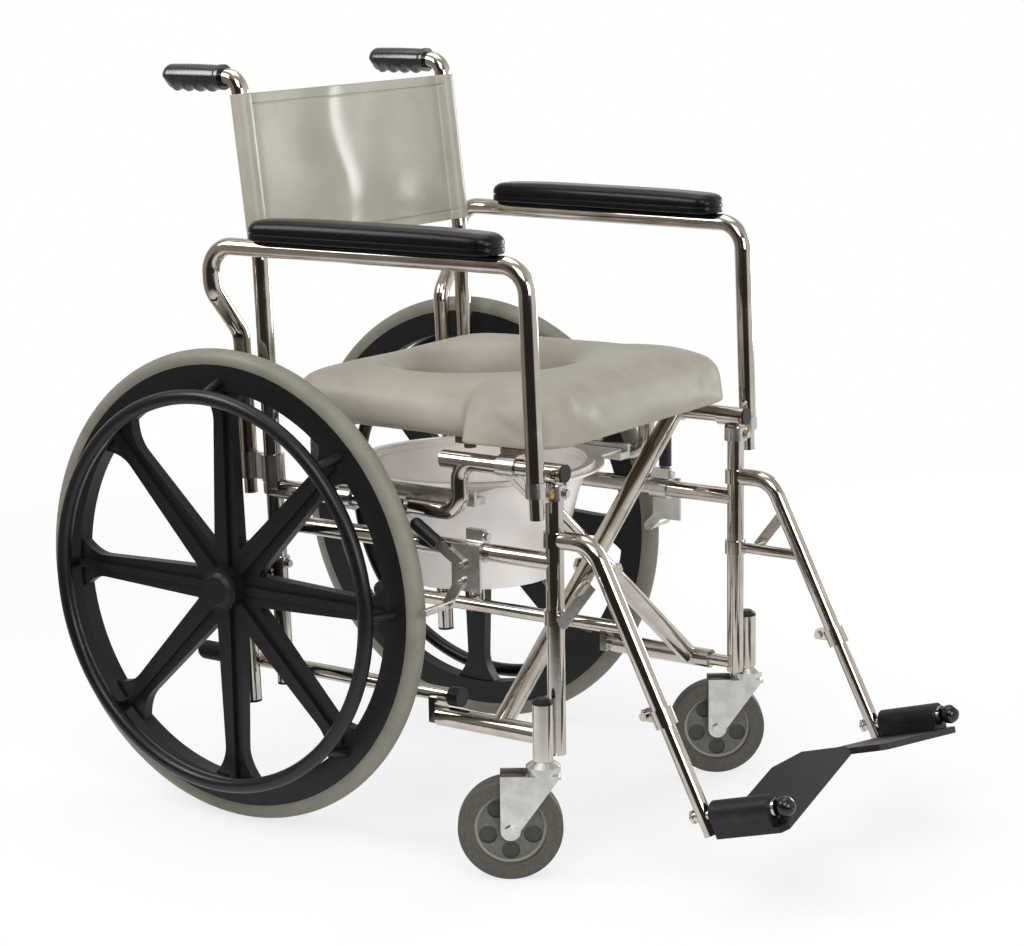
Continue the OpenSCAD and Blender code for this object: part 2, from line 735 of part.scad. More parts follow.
module rear_axles() color(zinc) both_sides() {
    head_w = 20;
    end_room = 2;
    inner_x = frame_x - bush_len[0] - fit_gap;
    spacer = [frame_x + bush_len[1] + fit_gap, wheel_x - hub_size[1] / 2 - fit_gap];
    end_x = wheel_x + hub_size[1] / 2 - hub_cap_t - end_room;
    nut_h = 7;
    bar([inner_x, 0, axle_z], [end_x, 0, axle_z], axle_d);
    translate([inner_x - nut_h, 0, axle_z]) rotate([0, 90, 0]) cylinder(d = head_w, h = nut_h, $fn = 6);
    bar([spacer[0], 0, axle_z], [spacer[1], 0, axle_z], axle_d + 2 * ring_wall);
}

// Edge of one spoke: half width at a radius, flared where it meets hub and rim
function spoke_half(r, a, b) = let (
    t = (r - a) / (b - a),
    base = (spoke_widths[0] + (spoke_widths[1] - spoke_widths[0]) * t) / 2,
    near = max(0, 1 - (r - a) / spoke_flare),
    far = max(0, 1 - (b - r) / spoke_rim_flare))
    base + (spoke_flare * near * near + spoke_rim_flare * far * far) / 2;

module spoke_shape() {
    a = hub_size[0] / 2;
    b = rim_id / 2;
    grow = [for (i = [0:flare_steps]) a + spoke_flare * i / flare_steps];
    fade = [for (i = [0:flare_steps]) b - spoke_rim_flare * (1 - i / flare_steps)];
    rs = concat(grow, fade);
    upper = [for (r = rs) [r, spoke_half(r, a, b)]];
    lower = [for (i = [len(rs) - 1:-1:0]) [rs[i], -spoke_half(rs[i], a, b)]];
    polygon(concat([[a / 2, spoke_widths[0] / 2]], upper, [[b + bite * 2, spoke_half(b, a, b)]],
        [[b + bite * 2, -spoke_half(b, a, b)]], lower, [[a / 2, -spoke_widths[0] / 2]]));
}

module rear_wheel(s) at_wheel(s) color(black) {
    boss = [46, 36, 5];
    hub_web_d = 112;
    difference() {
        union() {
            rotate_extrude($fn = 128) translate([rim_id / 2, -rim_w / 2])
                square([(rim_od - rim_id) / 2, rim_w]);
            cylinder(d = hub_size[0], h = hub_size[1], center = true);
            translate([0, 0, hub_size[1] / 2]) cylinder(d1 = boss[0], d2 = boss[1], h = boss[2]);
            linear_extrude(height = spoke_t, center = true) {
                circle(d = hub_web_d);
                for (i = [0:spokes - 1]) rotate(i * 360 / spokes) spoke_shape();
            }
            for (i = [0:spokes - 1]) rotate([0, 0, i * 360 / spokes])
                translate([hub_size[0] / 4, -spoke_ridge[0] / 2, 0])
                    cube([rim_id / 2 - hub_size[0] / 4 + fit_gap, spoke_ridge[0],
                        spoke_t / 2 + spoke_ridge[1]]);
        }
        translate([0, 0, -hub_size[1] / 2 - bite])
            cylinder(d = bearing_size[0] - 2 * bearing_lip, h = hub_size[1] - hub_cap_t + bite);
        translate([0, 0, -hub_size[1] / 2 - bite]) cylinder(d = bearing_size[0], h = bearing_size[1] + bite);
        translate([0, 0, hub_size[1] / 2 - hub_cap_t - 2 * bearing_size[1]])
            cylinder(d = bearing_size[0], h = bearing_size[1]);
    }
}

module wheel_bearings(s) at_wheel(s) color(zinc)
    for (z = [-hub_size[1] / 2 + bearing_size[1] / 2,
              hub_size[1] / 2 - hub_cap_t - bearing_size[1] * 3 / 2])
        translate([0, 0, z]) ring(axle_d + 2 * run_gap, bearing_size[0], bearing_size[1]);

module rear_tyre(s) at_wheel(s) color("#96948a")
    rotate_extrude($fn = 128) difference() {
        translate([(wheel_d - tyre_section_d) / 2, 0]) circle(d = tyre_section_d);
        translate([0, -rim_w]) square([rim_od / 2, 2 * rim_w]);
    }

module pushrim(s) at_wheel(s) color(black) {
    foot = rim_w / 2;
    foot_r = (rim_id + rim_od) / 4 - standoff_d / 4;
    translate([0, 0, pushrim_out]) rotate_extrude($fn = 128) translate([pushrim_d / 2, 0])
        circle(d = pushrim_section_d);
    difference() {
        for (i = [0:spokes - 1]) rotate([0, 0, i * 360 / spokes])
            bar([pushrim_d / 2, 0, pushrim_out], [foot_r, 0, foot - standoff_d / 2], standoff_d);
        translate([0, 0, foot - standoff_d]) cylinder(d = rim_od, h = standoff_d);
    }
}

// CASTERS

// Places children with the stem's axis on +Z and the trail along +Y, as the caster is swivelled
module at_caster(s)
    translate([s * caster_x, upright_y + shift_y, 0]) rotate([0, 0, caster_swivel]) children();

module caster_fork(s) at_caster(s) color(zinc) {
    inner = caster_w / 2 + fork_gap;
    head_z = upright_foot_z - fit_gap - fork_head_h;
    crown_t = 4;
    cap_h = 6;
    difference() {
        union() {
            translate([0, 0, head_z]) cylinder(d = stem_d, h = fork_head_h + housing_h - plug_len);
            translate([0, 0, head_z]) cylinder(d = fork_head_d, h = fork_head_h - cap_h);
            translate([0, 0, head_z + fork_head_h - cap_h])
                cylinder(d1 = fork_head_d, d2 = housing_od, h = cap_h);
            translate([-inner - fork_plate_t, -fork_head_d / 2, head_z - crown_t])
                cube([2 * (inner + fork_plate_t), fork_head_d, crown_t]);
            for (x = [-inner - fork_plate_t, inner]) translate([x, 0, 0]) fork_leg(head_z);
        }
        translate([-2 * inner, caster_trail, caster_r]) rotate([0, 90, 0])
            cylinder(d = caster_axle_d + 2 * run_gap, h = 4 * inner);
    }
    translate([-inner - fork_plate_t, caster_trail, caster_r])
        bolt(2 * (inner + fork_plate_t), caster_axle_d, caster_bolt_head);
}

// One side plate of a fork, from the head down to the axle eye
module fork_leg(head_z) {
    rotate([90, 0, 90]) linear_extrude(height = fork_plate_t) {
        polygon([[-fork_head_d / 2, head_z], [caster_trail + fork_eye_d / 2, head_z],
            [caster_trail + fork_eye_d / 2, caster_r], [caster_trail - fork_eye_d / 2, caster_r]]);
        translate([caster_trail, caster_r]) circle(d = fork_eye_d);
    }
}

module caster_wheel(s) at_caster(s) color("#6e6e6a")
    translate([0, caster_trail, caster_r]) rotate([0, 90, 0]) {
        tread_r = 5;
        hub_w = caster_w + 2 * (fork_gap - fit_gap);
        pockets = 5;
        pocket = [22, 3];
        difference() {
            union() {
                rotate_extrude($fn = 96) {
                    difference() {
                        translate([0, -caster_w / 2]) square([caster_r, caster_w]);
                        translate([0, -caster_w]) square([caster_rim_d / 2, 2 * caster_w]);
                        for (e = [-1, 1]) translate([caster_r, e * caster_w / 2]) difference() {
                            square(2 * tread_r, center = true);
                            translate([-tread_r, -e * tread_r]) circle(r = tread_r);
                        }
                    }
                    translate([0, -caster_web_t / 2]) square([caster_rim_d / 2, caster_web_t]);
                }
                cylinder(d = caster_hub_d, h = hub_w, center = true);
            }
            cylinder(d = caster_axle_d + 2 * run_gap, h = 2 * hub_w, center = true);
            for (i = [0:pockets - 1], e = [-1, 1]) rotate([0, 0, i * 360 / pockets])
                translate([(caster_rim_d + caster_hub_d) / 4, 0, e * caster_web_t / 2])
                    cylinder(d = pocket[0], h = 2 * pocket[1], center = true);
        }
    }

// FOOTREST HANGERS

// Places children at the footplate's pivot, with the pivot's axis along -Y
module at_foot(s) on_side(s) translate([frame_x, foot_y, foot_z]) rotate([-foot_lift, 0, 0]) children();

module hanger(s) on_side(s) color(steel) {
    bend_r = 35;
    bar_d = 14;
    boss_d = 11;
    lug = [16, 12];
    collar_h = 22;
    bolt_out = 11;
    foot = [frame_x, hanger_y(hanger_foot_z), hanger_foot_z];
    corner = [frame_x, hanger_corner[0], hanger_corner[1]];
    run = [[frame_x, upright_y, hanger_corner[1]], corner, foot];
    difference() {
        union() {
            bent_bar(run, tube_od, bend_r);
            bar([frame_x, upright_y, ring_z[1]], [frame_x, hanger_y(ring_z[1]), ring_z[1]], bar_d);
            for (z = ring_z) translate([frame_x, upright_y, z])
                cylinder(d = tube_od + 2 * ring_wall, h = ring_h, center = true);
            bar(foot, foot + unit(corner - foot) * collar_h, tube_od + 2 * ring_wall);
            translate(foot + unit(corner - foot) * collar_h / 2)
                translate([-lug[0] / 2, tube_r, -lug[1] / 2]) cube([lug[0], lug[0], lug[1]]);
            translate([frame_x, latch_at[0], latch_at[1]]) rotate([0, 90, 0])
                cylinder(d = boss_d, h = latch_out - fit_gap);
        }
        bar(foot - unit(corner - foot) * bite, foot + unit(corner - foot) * leg_room,
            leg_tube_d + 2 * run_gap);
        for (z = ring_z) translate([frame_x, upright_y, z])
            cylinder(d = tube_od + 2 * run_gap, h = 2 * ring_h, center = true);
        latch_pin(latch_pin_d + 2 * run_gap);
    }
    translate(foot + unit(corner - foot) * collar_h / 2 + [-lug[0] / 2, tube_r + bolt_out, 0])
        bolt(lug[0]);
}

// Pivot of the flat lever beside each hanger
module latch_pin(d) {
    translate([frame_x, latch_at[0], latch_at[1]]) rotate([0, 90, 0])
        cylinder(d = d, h = latch_out + latch_t);
}

// Flat lever beside each hanger that holds it against the upright
module hanger_latch(s) on_side(s) color(zinc) {
    tab = [20, 10];
    latch_pin(latch_pin_d);
    translate([frame_x + latch_out, latch_at[0], latch_at[1]]) rotate([latch_slope, 0, 0]) {
        rotate([0, 90, 0]) cylinder(d = latch_w, h = latch_t);
        translate([0, 0, -latch_w / 2]) cube([latch_t, latch_len, latch_w]);
        translate([0, latch_len - tab[0], -latch_w / 2]) cube([tab[1], tab[0], latch_t]);
    }
}

module footrest_tube(s) on_side(s) color(steel) {
    top = [frame_x, hanger_y(leg_tube_z[0]), leg_tube_z[0]];
    foot = [frame_x, hanger_y(leg_tube_z[1]), leg_tube_z[1]];
    difference() {
        bar(foot, top, leg_tube_d);
        bar([frame_x, hanger_y(foot_z + foot_sleeve[0]), foot_z + foot_sleeve[0]],
            top + unit(top - foot) * bite, leg_tube_d - 2 * tube_wall);
        translate([frame_x, foot_y, foot_z]) rotate([90 - foot_lift, 0, 0])
            cylinder(d = foot_pin_d + 2 * run_gap, h = 2 * leg_tube_d, center = true);
    }
}

// Pivot of a footplate: a pin from the footrest tube, with a ring and a ball at its front end
module foot_pin(s) at_foot(s) color(black) rotate([90, 0, 0]) {
    collar = [24, 6];
    nut = [18, 4];
    nut_stand = 2.6;
    sleeve_end = foot_sleeve_start + foot_sleeve[1] + fit_gap;
    nut_at = leg_tube_d / 2 + nut_stand;
    translate([0, 0, -nut_at]) cylinder(d = foot_pin_d, h = nut_at + ball_at);
    translate([0, 0, -nut_at - nut[1]]) cylinder(d = nut[0], h = nut[1], $fn = 6);
    translate([0, 0, sleeve_end]) cylinder(d = collar[0], h = collar[1]);
    translate([0, 0, ball_at]) sphere(d = foot_ball_d);
}

module footplate(s) at_foot(s) color(black) rotate([0, foot_tilts[s < 0 ? 0 : 1], 0]) {
    outer = 16;
    chamfer = [34, 26];
    nip = 8;
    drop = foot_sleeve[0] / 2;
    w = plate_size[0] - outer;
    y0 = -foot_sleeve_start;
    y1 = y0 - plate_size[1];
    difference() {
        union() {
            translate([0, y0, 0]) rotate([90, 0, 0]) cylinder(d = foot_sleeve[0], h = foot_sleeve[1]);
            translate([-outer, y0 - foot_sleeve[1], -drop - bite])
                cube([2 * outer, foot_sleeve[1], drop + bite]);
            translate([0, 0, -drop - plate_size[2]]) linear_extrude(height = plate_size[2])
                polygon([[outer, y0], [outer, y1 + nip], [outer - nip, y1], [nip - w, y1], [-w, y1 + nip],
                    [-w, y0 - chamfer[1]], [chamfer[0] - w, y0]]);
        }
        translate([0, bite, 0]) rotate([90, 0, 0])
            cylinder(d = foot_pin_d + 2 * run_gap, h = foot_sleeve[1] + foot_sleeve[0]);
    }
}

// BRAKES

// Clamps on the mid rails, each with the plate that carries lever and shoe
module brake_clamps() color(zinc) both_sides() {
    plate_reach = [26, 16];
    plate_low = 12;
    plate_y = [lever_pivot[0] - plate_reach[0], lever_pivot[0] + plate_reach[1]];
    plate_z = [shoe_pivot[1] - plate_low, mid_rail_z + tube_r];
    clamp_d = tube_od + 2 * ring_wall;
    difference() {
        union() {
            bar([frame_x, brake_y - brake_clamp_w / 2, mid_rail_z],
                [frame_x, brake_y + brake_clamp_w / 2, mid_rail_z], clamp_d);
            translate([frame_x, brake_y - brake_clamp_w / 2, mid_rail_z - tube_r])
                cube([brake_plate_x, brake_clamp_w, tube_od]);
            translate([frame_x - bracket_t, brake_y - brake_clamp_w / 2, mid_rail_z])
                cube([2 * bracket_t, brake_clamp_w, tube_r + 4 * bracket_t]);
            translate([frame_x + brake_plate_x, plate_y[0], plate_z[0]])
                cube([bracket_t, plate_y[1] - plate_y[0], plate_z[1] - plate_z[0]]);
            for (p = [lever_pivot, shoe_pivot]) translate([frame_x + brake_plate_x, p[0], p[1]])
                rotate([0, 90, 0]) cylinder(d = brake_pin_d, h = bracket_t + fit_gap + 2 * lever_t);
        }
        bar([frame_x, 0, mid_rail_z], [frame_x, upright_y, mid_rail_z], tube_od + 2 * run_gap);
    }
}

// Places children on a brake pivot, turned rearward by an angle, with the arm along +Z
module at_brake(s, pivot, turn) on_side(s)
    translate([frame_x + brake_plate_x + bracket_t + fit_gap, pivot[0], pivot[1]])
        rotate([-turn, 0, 0]) children();

module brake_lever(s) at_brake(s, lever_pivot, brake_angles[s < 0 ? 0 : 1]) color(black) {
    lever_w = 13;
    handle = [17, 48];
    difference() {
        union() {
            rotate([0, 90, 0]) cylinder(d = lever_w, h = lever_t);
            translate([0, -lever_w / 2, 0]) cube([lever_t, lever_w, lever_len - handle[1] / 2]);
            translate([lever_t / 2, 0, lever_len - handle[1]])
                cylinder(d = handle[0], h = handle[1] - handle[0] / 2);
            translate([lever_t / 2, 0, lever_len - handle[0] / 2]) sphere(d = handle[0]);
        }
        rotate([0, 90, 0]) cylinder(d = brake_pin_d + 2 * run_gap, h = 3 * lever_t, center = true);
    }
}

module brake_shoe(s) {
    reach = shoe_at - shoe_pivot;
    arm_len = norm(reach);
    hang = atan2(reach[0], reach[1]);
    shoe_end = wheel_x + tyre_section_d / 2 + shoe_past - frame_x - brake_plate_x - bracket_t - fit_gap;
    arm_w = 13;
    at_brake(s, shoe_pivot, hang - shoe_turns[s < 0 ? 0 : 1]) color(zinc) difference() {
        union() {
            rotate([0, 90, 0]) cylinder(d = arm_w, h = lever_t);
            translate([0, -arm_w / 2, 0]) cube([lever_t, arm_w, arm_len]);
            translate([0, 0, arm_len]) rotate([0, 90, 0]) cylinder(d = shoe_d, h = shoe_end);
        }
        rotate([0, 90, 0]) cylinder(d = brake_pin_d + 2 * run_gap, h = 3 * lever_t, center = true);
    }
}

// ARMRESTS

module arm_tube(s) on_side(s) color(steel) {
    rail_rear = arm_y(arm_rear_y, arm_foot_z[1], arm_rail_z);
    step_in = arm_y(arm_rear_y, arm_foot_z[1], arm_step_z[0]);
    step_out = arm_y(arm_rear_y, arm_foot_z[1], arm_step_z[1]);
    pts = [
        [arm_front_x, arm_y(arm_front_y, arm_foot_z[0], arm_shoulder_z[0]), arm_shoulder_z[0]],
        [arm_front_x, arm_y(arm_front_y, arm_foot_z[0], arm_rail_z), arm_rail_z],
        [arm_rail_rear_x, rail_rear, arm_rail_z],
        [arm_rail_rear_x, step_out, arm_step_z[1]],
        [arm_rear_x, step_in, arm_step_z[0]],
        [arm_rear_x, arm_y(arm_rear_y, arm_foot_z[1], arm_shoulder_z[1]), arm_shoulder_z[1]]];
    bent_tube(pts, tube_od, tube_wall, arm_bend_r);
    for (end = [0, 1]) arm_stub(end, stub_d);
    for (end = [0, 1]) {
        p = pts[end * (len(pts) - 1)];
        bar(p, p + unit([0, tan(lean), 1]) * tube_wall * 2, tube_id + tube_wall);
    }
}

// Places children at the middle of the arm rail, with +X along the rail to the front
module at_pad(s) on_side(s) {
    front = [arm_front_x, arm_y(arm_front_y, arm_foot_z[0], arm_rail_z)];
    rear = [arm_rail_rear_x, arm_y(arm_rear_y, arm_foot_z[1], arm_rail_z)];
    share = (pad_y - rear[1]) / (front[1] - rear[1]);
    at = rear + (front - rear) * share;
    run = unit(front - rear);
    multmatrix(placed([run[0], run[1], 0], [-run[1], run[0], 0], [0, 0, 1],
        [at[0], at[1], arm_rail_z + tube_r + fit_gap])) children();
}

// A flat slice with round ends, for building soft forms
module slice(length, width, r, z, t) {
    translate([0, 0, z]) hull() for (x = [-1, 1], y = [-1, 1])
        translate([x * (length / 2 - r), y * (width / 2 - r), 0]) cylinder(r = r, h = t, $fn = 24);
}

// Arm pads: crowned, drawn in at the edge and rounded at both ends
module arm_pad(s) at_pad(s) color(black) {
    insets = [6, 1, 0, 2, 7, 15];
    levels = [0, 4, 11, 19, 25, 27];
    r = 20;
    t = 1;
    hull() for (i = [0:len(levels) - 1])
        slice(pad_size[0] - 2 * insets[i], pad_size[1] - 2 * insets[i],
            max(r - insets[i], r / 4), levels[i], t);
}

module arm_button_bar(d, e) {
    y = arm_y(arm_front_y, arm_foot_z[0], button_z);
    bar([button_x, y - e, button_z], [button_x, y + e, button_z], d);
}

// Sprung button that locks each arm, in the web of its front socket
module arm_button(s) on_side(s) color(brass) {
    web_y = arm_y(arm_front_y, arm_foot_z[0], arm_shoulder_z[0] - socket_h / 2 - fit_gap) - socket_web_t / 2;
    head_y = web_y - button_travel - fit_gap;
    bar([button_x, head_y - button_head[1] / 2, button_z],
        [button_x, web_y + button_travel, button_z], button_d);
    translate([button_x, head_y, button_z]) rotate([90, 0, 0])
        cylinder(d = button_head[0], h = button_head[1]);
}

// SEAT AND PAN

// Stadium-shaped outline of the opening, grown by e
module hole_shape(e) {
    r = seat_hole[0] / 2 + e;
    span = (seat_hole[1] - seat_hole[0]) / 2;
    translate([0, seat_hole_y]) {
        for (y = [-span, span]) translate([0, y]) circle(r = r);
        square([2 * r, 2 * span], center = true);
    }
}

// Board under the cushion: tabs that rest on the rails' bands, rear feet that stand on the dropped
// rails, and two small bumpers
module seat_board() in_middle() color("#5a4a3c") {
    insets = [76, 50, 24];
    w = seat_size[0] - 2 * insets[0];
    d = seat_size[1] - insets[1] - insets[2];
    front_edge = seat_rear_y - seat_size[1] + insets[1];
    tab_w = 24;
    tab_end = frame_x + bite;
    rear_foot_y = -104;
    foot_size = [18, 22];
    bumper = [15, 7];
    bumper_inset = 52;
    bumper_at = [seat_size[0] / 2 - bumper_inset, -307];
    difference() {
        union() {
            translate([-w / 2, front_edge, board_z]) cube([w, d, board_t]);
            translate([-bumper_at[0] - bumper[0], bumper_at[1] - tab_w / 2, board_z])
                cube([2 * (bumper_at[0] + bumper[0]), tab_w, board_t]);
            translate([-tab_end, rear_foot_y - tab_w / 2, board_z]) cube([2 * tab_end, tab_w, board_t]);
            for (s = [-1, 1]) {
                translate([s < 0 ? -tab_end : 0, band_y(s) - tab_w / 2, board_z])
                    cube([tab_end, max(tab_w, front_edge - band_y(s) + 3 * tab_w / 2), board_t]);
                translate([s * (frame_x - foot_inset) - foot_size[0] / 2, rear_foot_y - foot_size[1] / 2,
                    drop_rail_z]) cube([foot_size[0], foot_size[1], board_z - drop_rail_z + bite]);
                translate([s * bumper_at[0], bumper_at[1], board_z - bumper[1]])
                    cylinder(d = bumper[0], h = bumper[1] + bite);
            }
        }
        translate([0, 0, board_z - bite]) linear_extrude(height = board_t + 2 * bite) hole_shape(0);
        for (s = [-1, 1])
            bar([s * frame_x, 0, drop_rail_z], [s * frame_x, drop_y, drop_rail_z], tube_od + 2 * fit_gap);
    }
}

// One level of the cushion's front block: round front corners, square rear ones
module block_slice(inset, r, z, t) {
    half = seat_size[0] / 2 - inset;
    front = seat_rear_y - seat_size[1] + inset;
    edge_r = 5;
    translate([0, 0, z]) hull() for (s = [-1, 1]) {
        translate([s * (half - r), front + r, 0]) cylinder(r = r, h = t, $fn = 24);
        translate([s * (half - edge_r), block_rear_y - edge_r, 0]) cylinder(r = edge_r, h = t, $fn = 12);
    }
}

// Padded seat: a rolled ring drawn in at the bottom, a square-sided block across the front, and a
// flared opening
module seat_cushion() in_middle() color(vinyl) {
    side_in = 10;
    ring_short = 64;
    ring_front_y = seat_rear_y - seat_size[1] + ring_short;
    insets = [26, 12, 3, 0, 4, 14, 32, 64];
    level_shares = [0, 0.114, 0.286, 0.486, 0.686, 0.843, 0.943, 0.986];
    levels = [for (q = level_shares) q * seat_size[2]];
    block_insets = [3, 0, 1, 5, 14, 31, 66];
    block_shares = [0, 0.057, 0.486, 0.686, 0.843, 0.943, 0.986];
    block_levels = [for (q = block_shares) q * seat_size[2]];
    ring_r = 46;
    block_r = 56;
    t = 1;
    film = 0.01;
    z0 = board_z + board_t;
    flares = [6, 0, 2, 12, 34];
    flare_shares = [-0.014, 0.2, 0.571, 0.829, 1.029];
    flare_levels = [for (q = flare_shares) q * seat_size[2]];
    difference() {
        union() {
            hull() for (i = [0:len(levels) - 1])
                translate([0, (seat_rear_y + ring_front_y) / 2, z0])
                    slice(seat_size[0] - 2 * (side_in + insets[i]),
                        seat_rear_y - ring_front_y - 2 * insets[i],
                        ring_r - insets[i] / 2, levels[i], t);
            hull() for (i = [0:len(block_levels) - 1])
                translate([0, 0, z0])
                    block_slice(block_insets[i], block_r - block_insets[i] / 2, block_levels[i], t);
        }
        for (i = [0:len(flares) - 2]) hull() for (k = [i, i + 1])
            translate([0, 0, z0 + flare_levels[k]]) linear_extrude(height = film) hole_shape(flares[k]);
    }
}

// Runners clipped under the dropped rails, on which the pan's flange slides out to the rear
module pan_runners() color(white) both_sides() {
    reach = [128, 124];
    ends = [pan_y - reach[0], pan_y + reach[1]];
    clip_at = [46, -40];
    under = 16;
    side_room = 2;
    inner_x = pan_rim_d / 2 - under;
    outer_x = pan_rim_d / 2 + side_room;
    wall = 5;
    shelf = 9;
    clip_w = 20;
    for (y = [pan_y - clip_at[0], pan_y - clip_at[1]]) difference() {
        union() {
            bar([frame_x, y - clip_w / 2, drop_rail_z], [frame_x, y + clip_w / 2, drop_rail_z],
                tube_od + 2 * socket_wall);
            translate([outer_x, y - clip_w / 2, pan_flange_z - shelf])
                cube([frame_x - outer_x, clip_w, shelf]);
        }
        bar([frame_x, 0, drop_rail_z], [frame_x, drop_y, drop_rail_z], tube_od + 2 * run_gap);
    }
    translate([inner_x, ends[0], pan_flange_z - shelf])
        cube([outer_x - inner_x + wall, ends[1] - ends[0], shelf]);
    translate([outer_x, ends[0], pan_flange_z - shelf]) cube([wall, ends[1] - ends[0], 2 * shelf]);
}

module pan() in_middle() color(white) translate([0, pan_y, pan_flange_z + fit_gap]) {
    wing = [pan_rim_d, 240];
    lip = [5, 4];
    top = pan_bowl_d[0];
    floor_d = pan_bowl_d[1];
    difference() {
        union() {
            linear_extrude(height = pan_wall) {
                circle(d = pan_rim_d);
                square([wing[0], wing[1]], center = true);
            }
            translate([0, 0, -pan_depth]) cylinder(d1 = floor_d, d2 = top, h = pan_depth);
            translate([0, 0, (bite + pan_wall + lip[1]) / 2])
                ring(top, top + 4 * lip[0], pan_wall + lip[1] - bite);
        }
        translate([0, 0, pan_wall - pan_depth])
            cylinder(d1 = floor_d - 2 * pan_wall, d2 = top - 2 * pan_wall, h = pan_depth);
        translate([0, 0, -pan_wall]) cylinder(d = top - 2 * pan_wall, h = pan_depth);
    }
}

side_frame(-1);  // side_frame_right
side_frame(1);  // side_frame_left
back_post(-1);  // back_post_right
back_post(1);  // back_post_left
axle_post(-1);  // axle_post_right
axle_post(1);  // axle_post_left
tipping_rod(-1);  // tipping_rod_right
tipping_rod(1);  // tipping_rod_left
cross_member(-1);  // cross_member_right
cross_member(1);  // cross_member_left
seat_rail(-1);  // seat_rail_right
seat_rail(1);  // seat_rail_left
cross_bolt();
rail_saddles();
front_sockets();
rear_sockets();
back_sling();
hand_grips();
rubber_tips();
tube_plugs();
brake_clamps();
frame_bolts();
rear_axles();
pan_runners();
rear_wheel(-1);  // rear_wheel_right
rear_wheel(1);  // rear_wheel_left
rear_tyre(-1);  // rear_tyre_right
rear_tyre(1);  // rear_tyre_left
pushrim(-1);  // pushrim_right
pushrim(1);  // pushrim_left
wheel_bearings(-1);  // wheel_bearings_right
wheel_bearings(1);  // wheel_bearings_left
caster_fork(-1);  // caster_fork_right
caster_fork(1);  // caster_fork_left
caster_wheel(-1);  // caster_wheel_right
caster_wheel(1);  // caster_wheel_left
hanger(-1);  // hanger_right
hanger(1);  // hanger_left
hanger_latch(-1);  // hanger_latch_right
hanger_latch(1);  // hanger_latch_left
footrest_tube(-1);  // footrest_tube_right
footrest_tube(1);  // footrest_tube_left
foot_pin(-1);  // foot_pin_right
foot_pin(1);  // foot_pin_left
footplate(-1);  // footplate_right
footplate(1);  // footplate_left
brake_lever(-1);  // brake_lever_right
brake_lever(1);  // brake_lever_left
brake_shoe(-1);  // brake_shoe_right
brake_shoe(1);  // brake_shoe_left
arm_tube(-1);  // arm_tube_right
arm_tube(1);  // arm_tube_left
arm_pad(-1);  // arm_pad_right
arm_pad(1);  // arm_pad_left
arm_button(-1);  // arm_button_right
arm_button(1);  // arm_button_left
seat_board();
seat_cushion();
pan();
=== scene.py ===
import math

import bmesh
import bpy
from mathutils import Matrix, Vector


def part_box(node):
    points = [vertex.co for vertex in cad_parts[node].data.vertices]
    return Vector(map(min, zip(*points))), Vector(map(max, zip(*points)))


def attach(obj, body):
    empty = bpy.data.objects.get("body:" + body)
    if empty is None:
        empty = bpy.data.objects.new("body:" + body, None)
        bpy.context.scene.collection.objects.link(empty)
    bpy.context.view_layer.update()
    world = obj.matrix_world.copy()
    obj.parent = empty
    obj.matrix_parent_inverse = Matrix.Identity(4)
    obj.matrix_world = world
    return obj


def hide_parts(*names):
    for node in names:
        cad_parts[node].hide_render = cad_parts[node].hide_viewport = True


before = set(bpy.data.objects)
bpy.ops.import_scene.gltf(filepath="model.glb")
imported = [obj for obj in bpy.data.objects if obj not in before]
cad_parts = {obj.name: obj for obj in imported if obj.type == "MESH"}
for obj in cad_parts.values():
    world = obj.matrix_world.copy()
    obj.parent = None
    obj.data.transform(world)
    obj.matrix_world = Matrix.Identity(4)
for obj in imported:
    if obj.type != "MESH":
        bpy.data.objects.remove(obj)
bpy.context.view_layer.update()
bpy.ops.object.select_all(action="DESELECT")


# FRAME TUBES
# Side frames, back posts, axle posts, tipping rods, brace and seat rails: round steel tube, bent and
# welded, polished and plated bright. Handling leaves the plating a little uneven in its gloss.

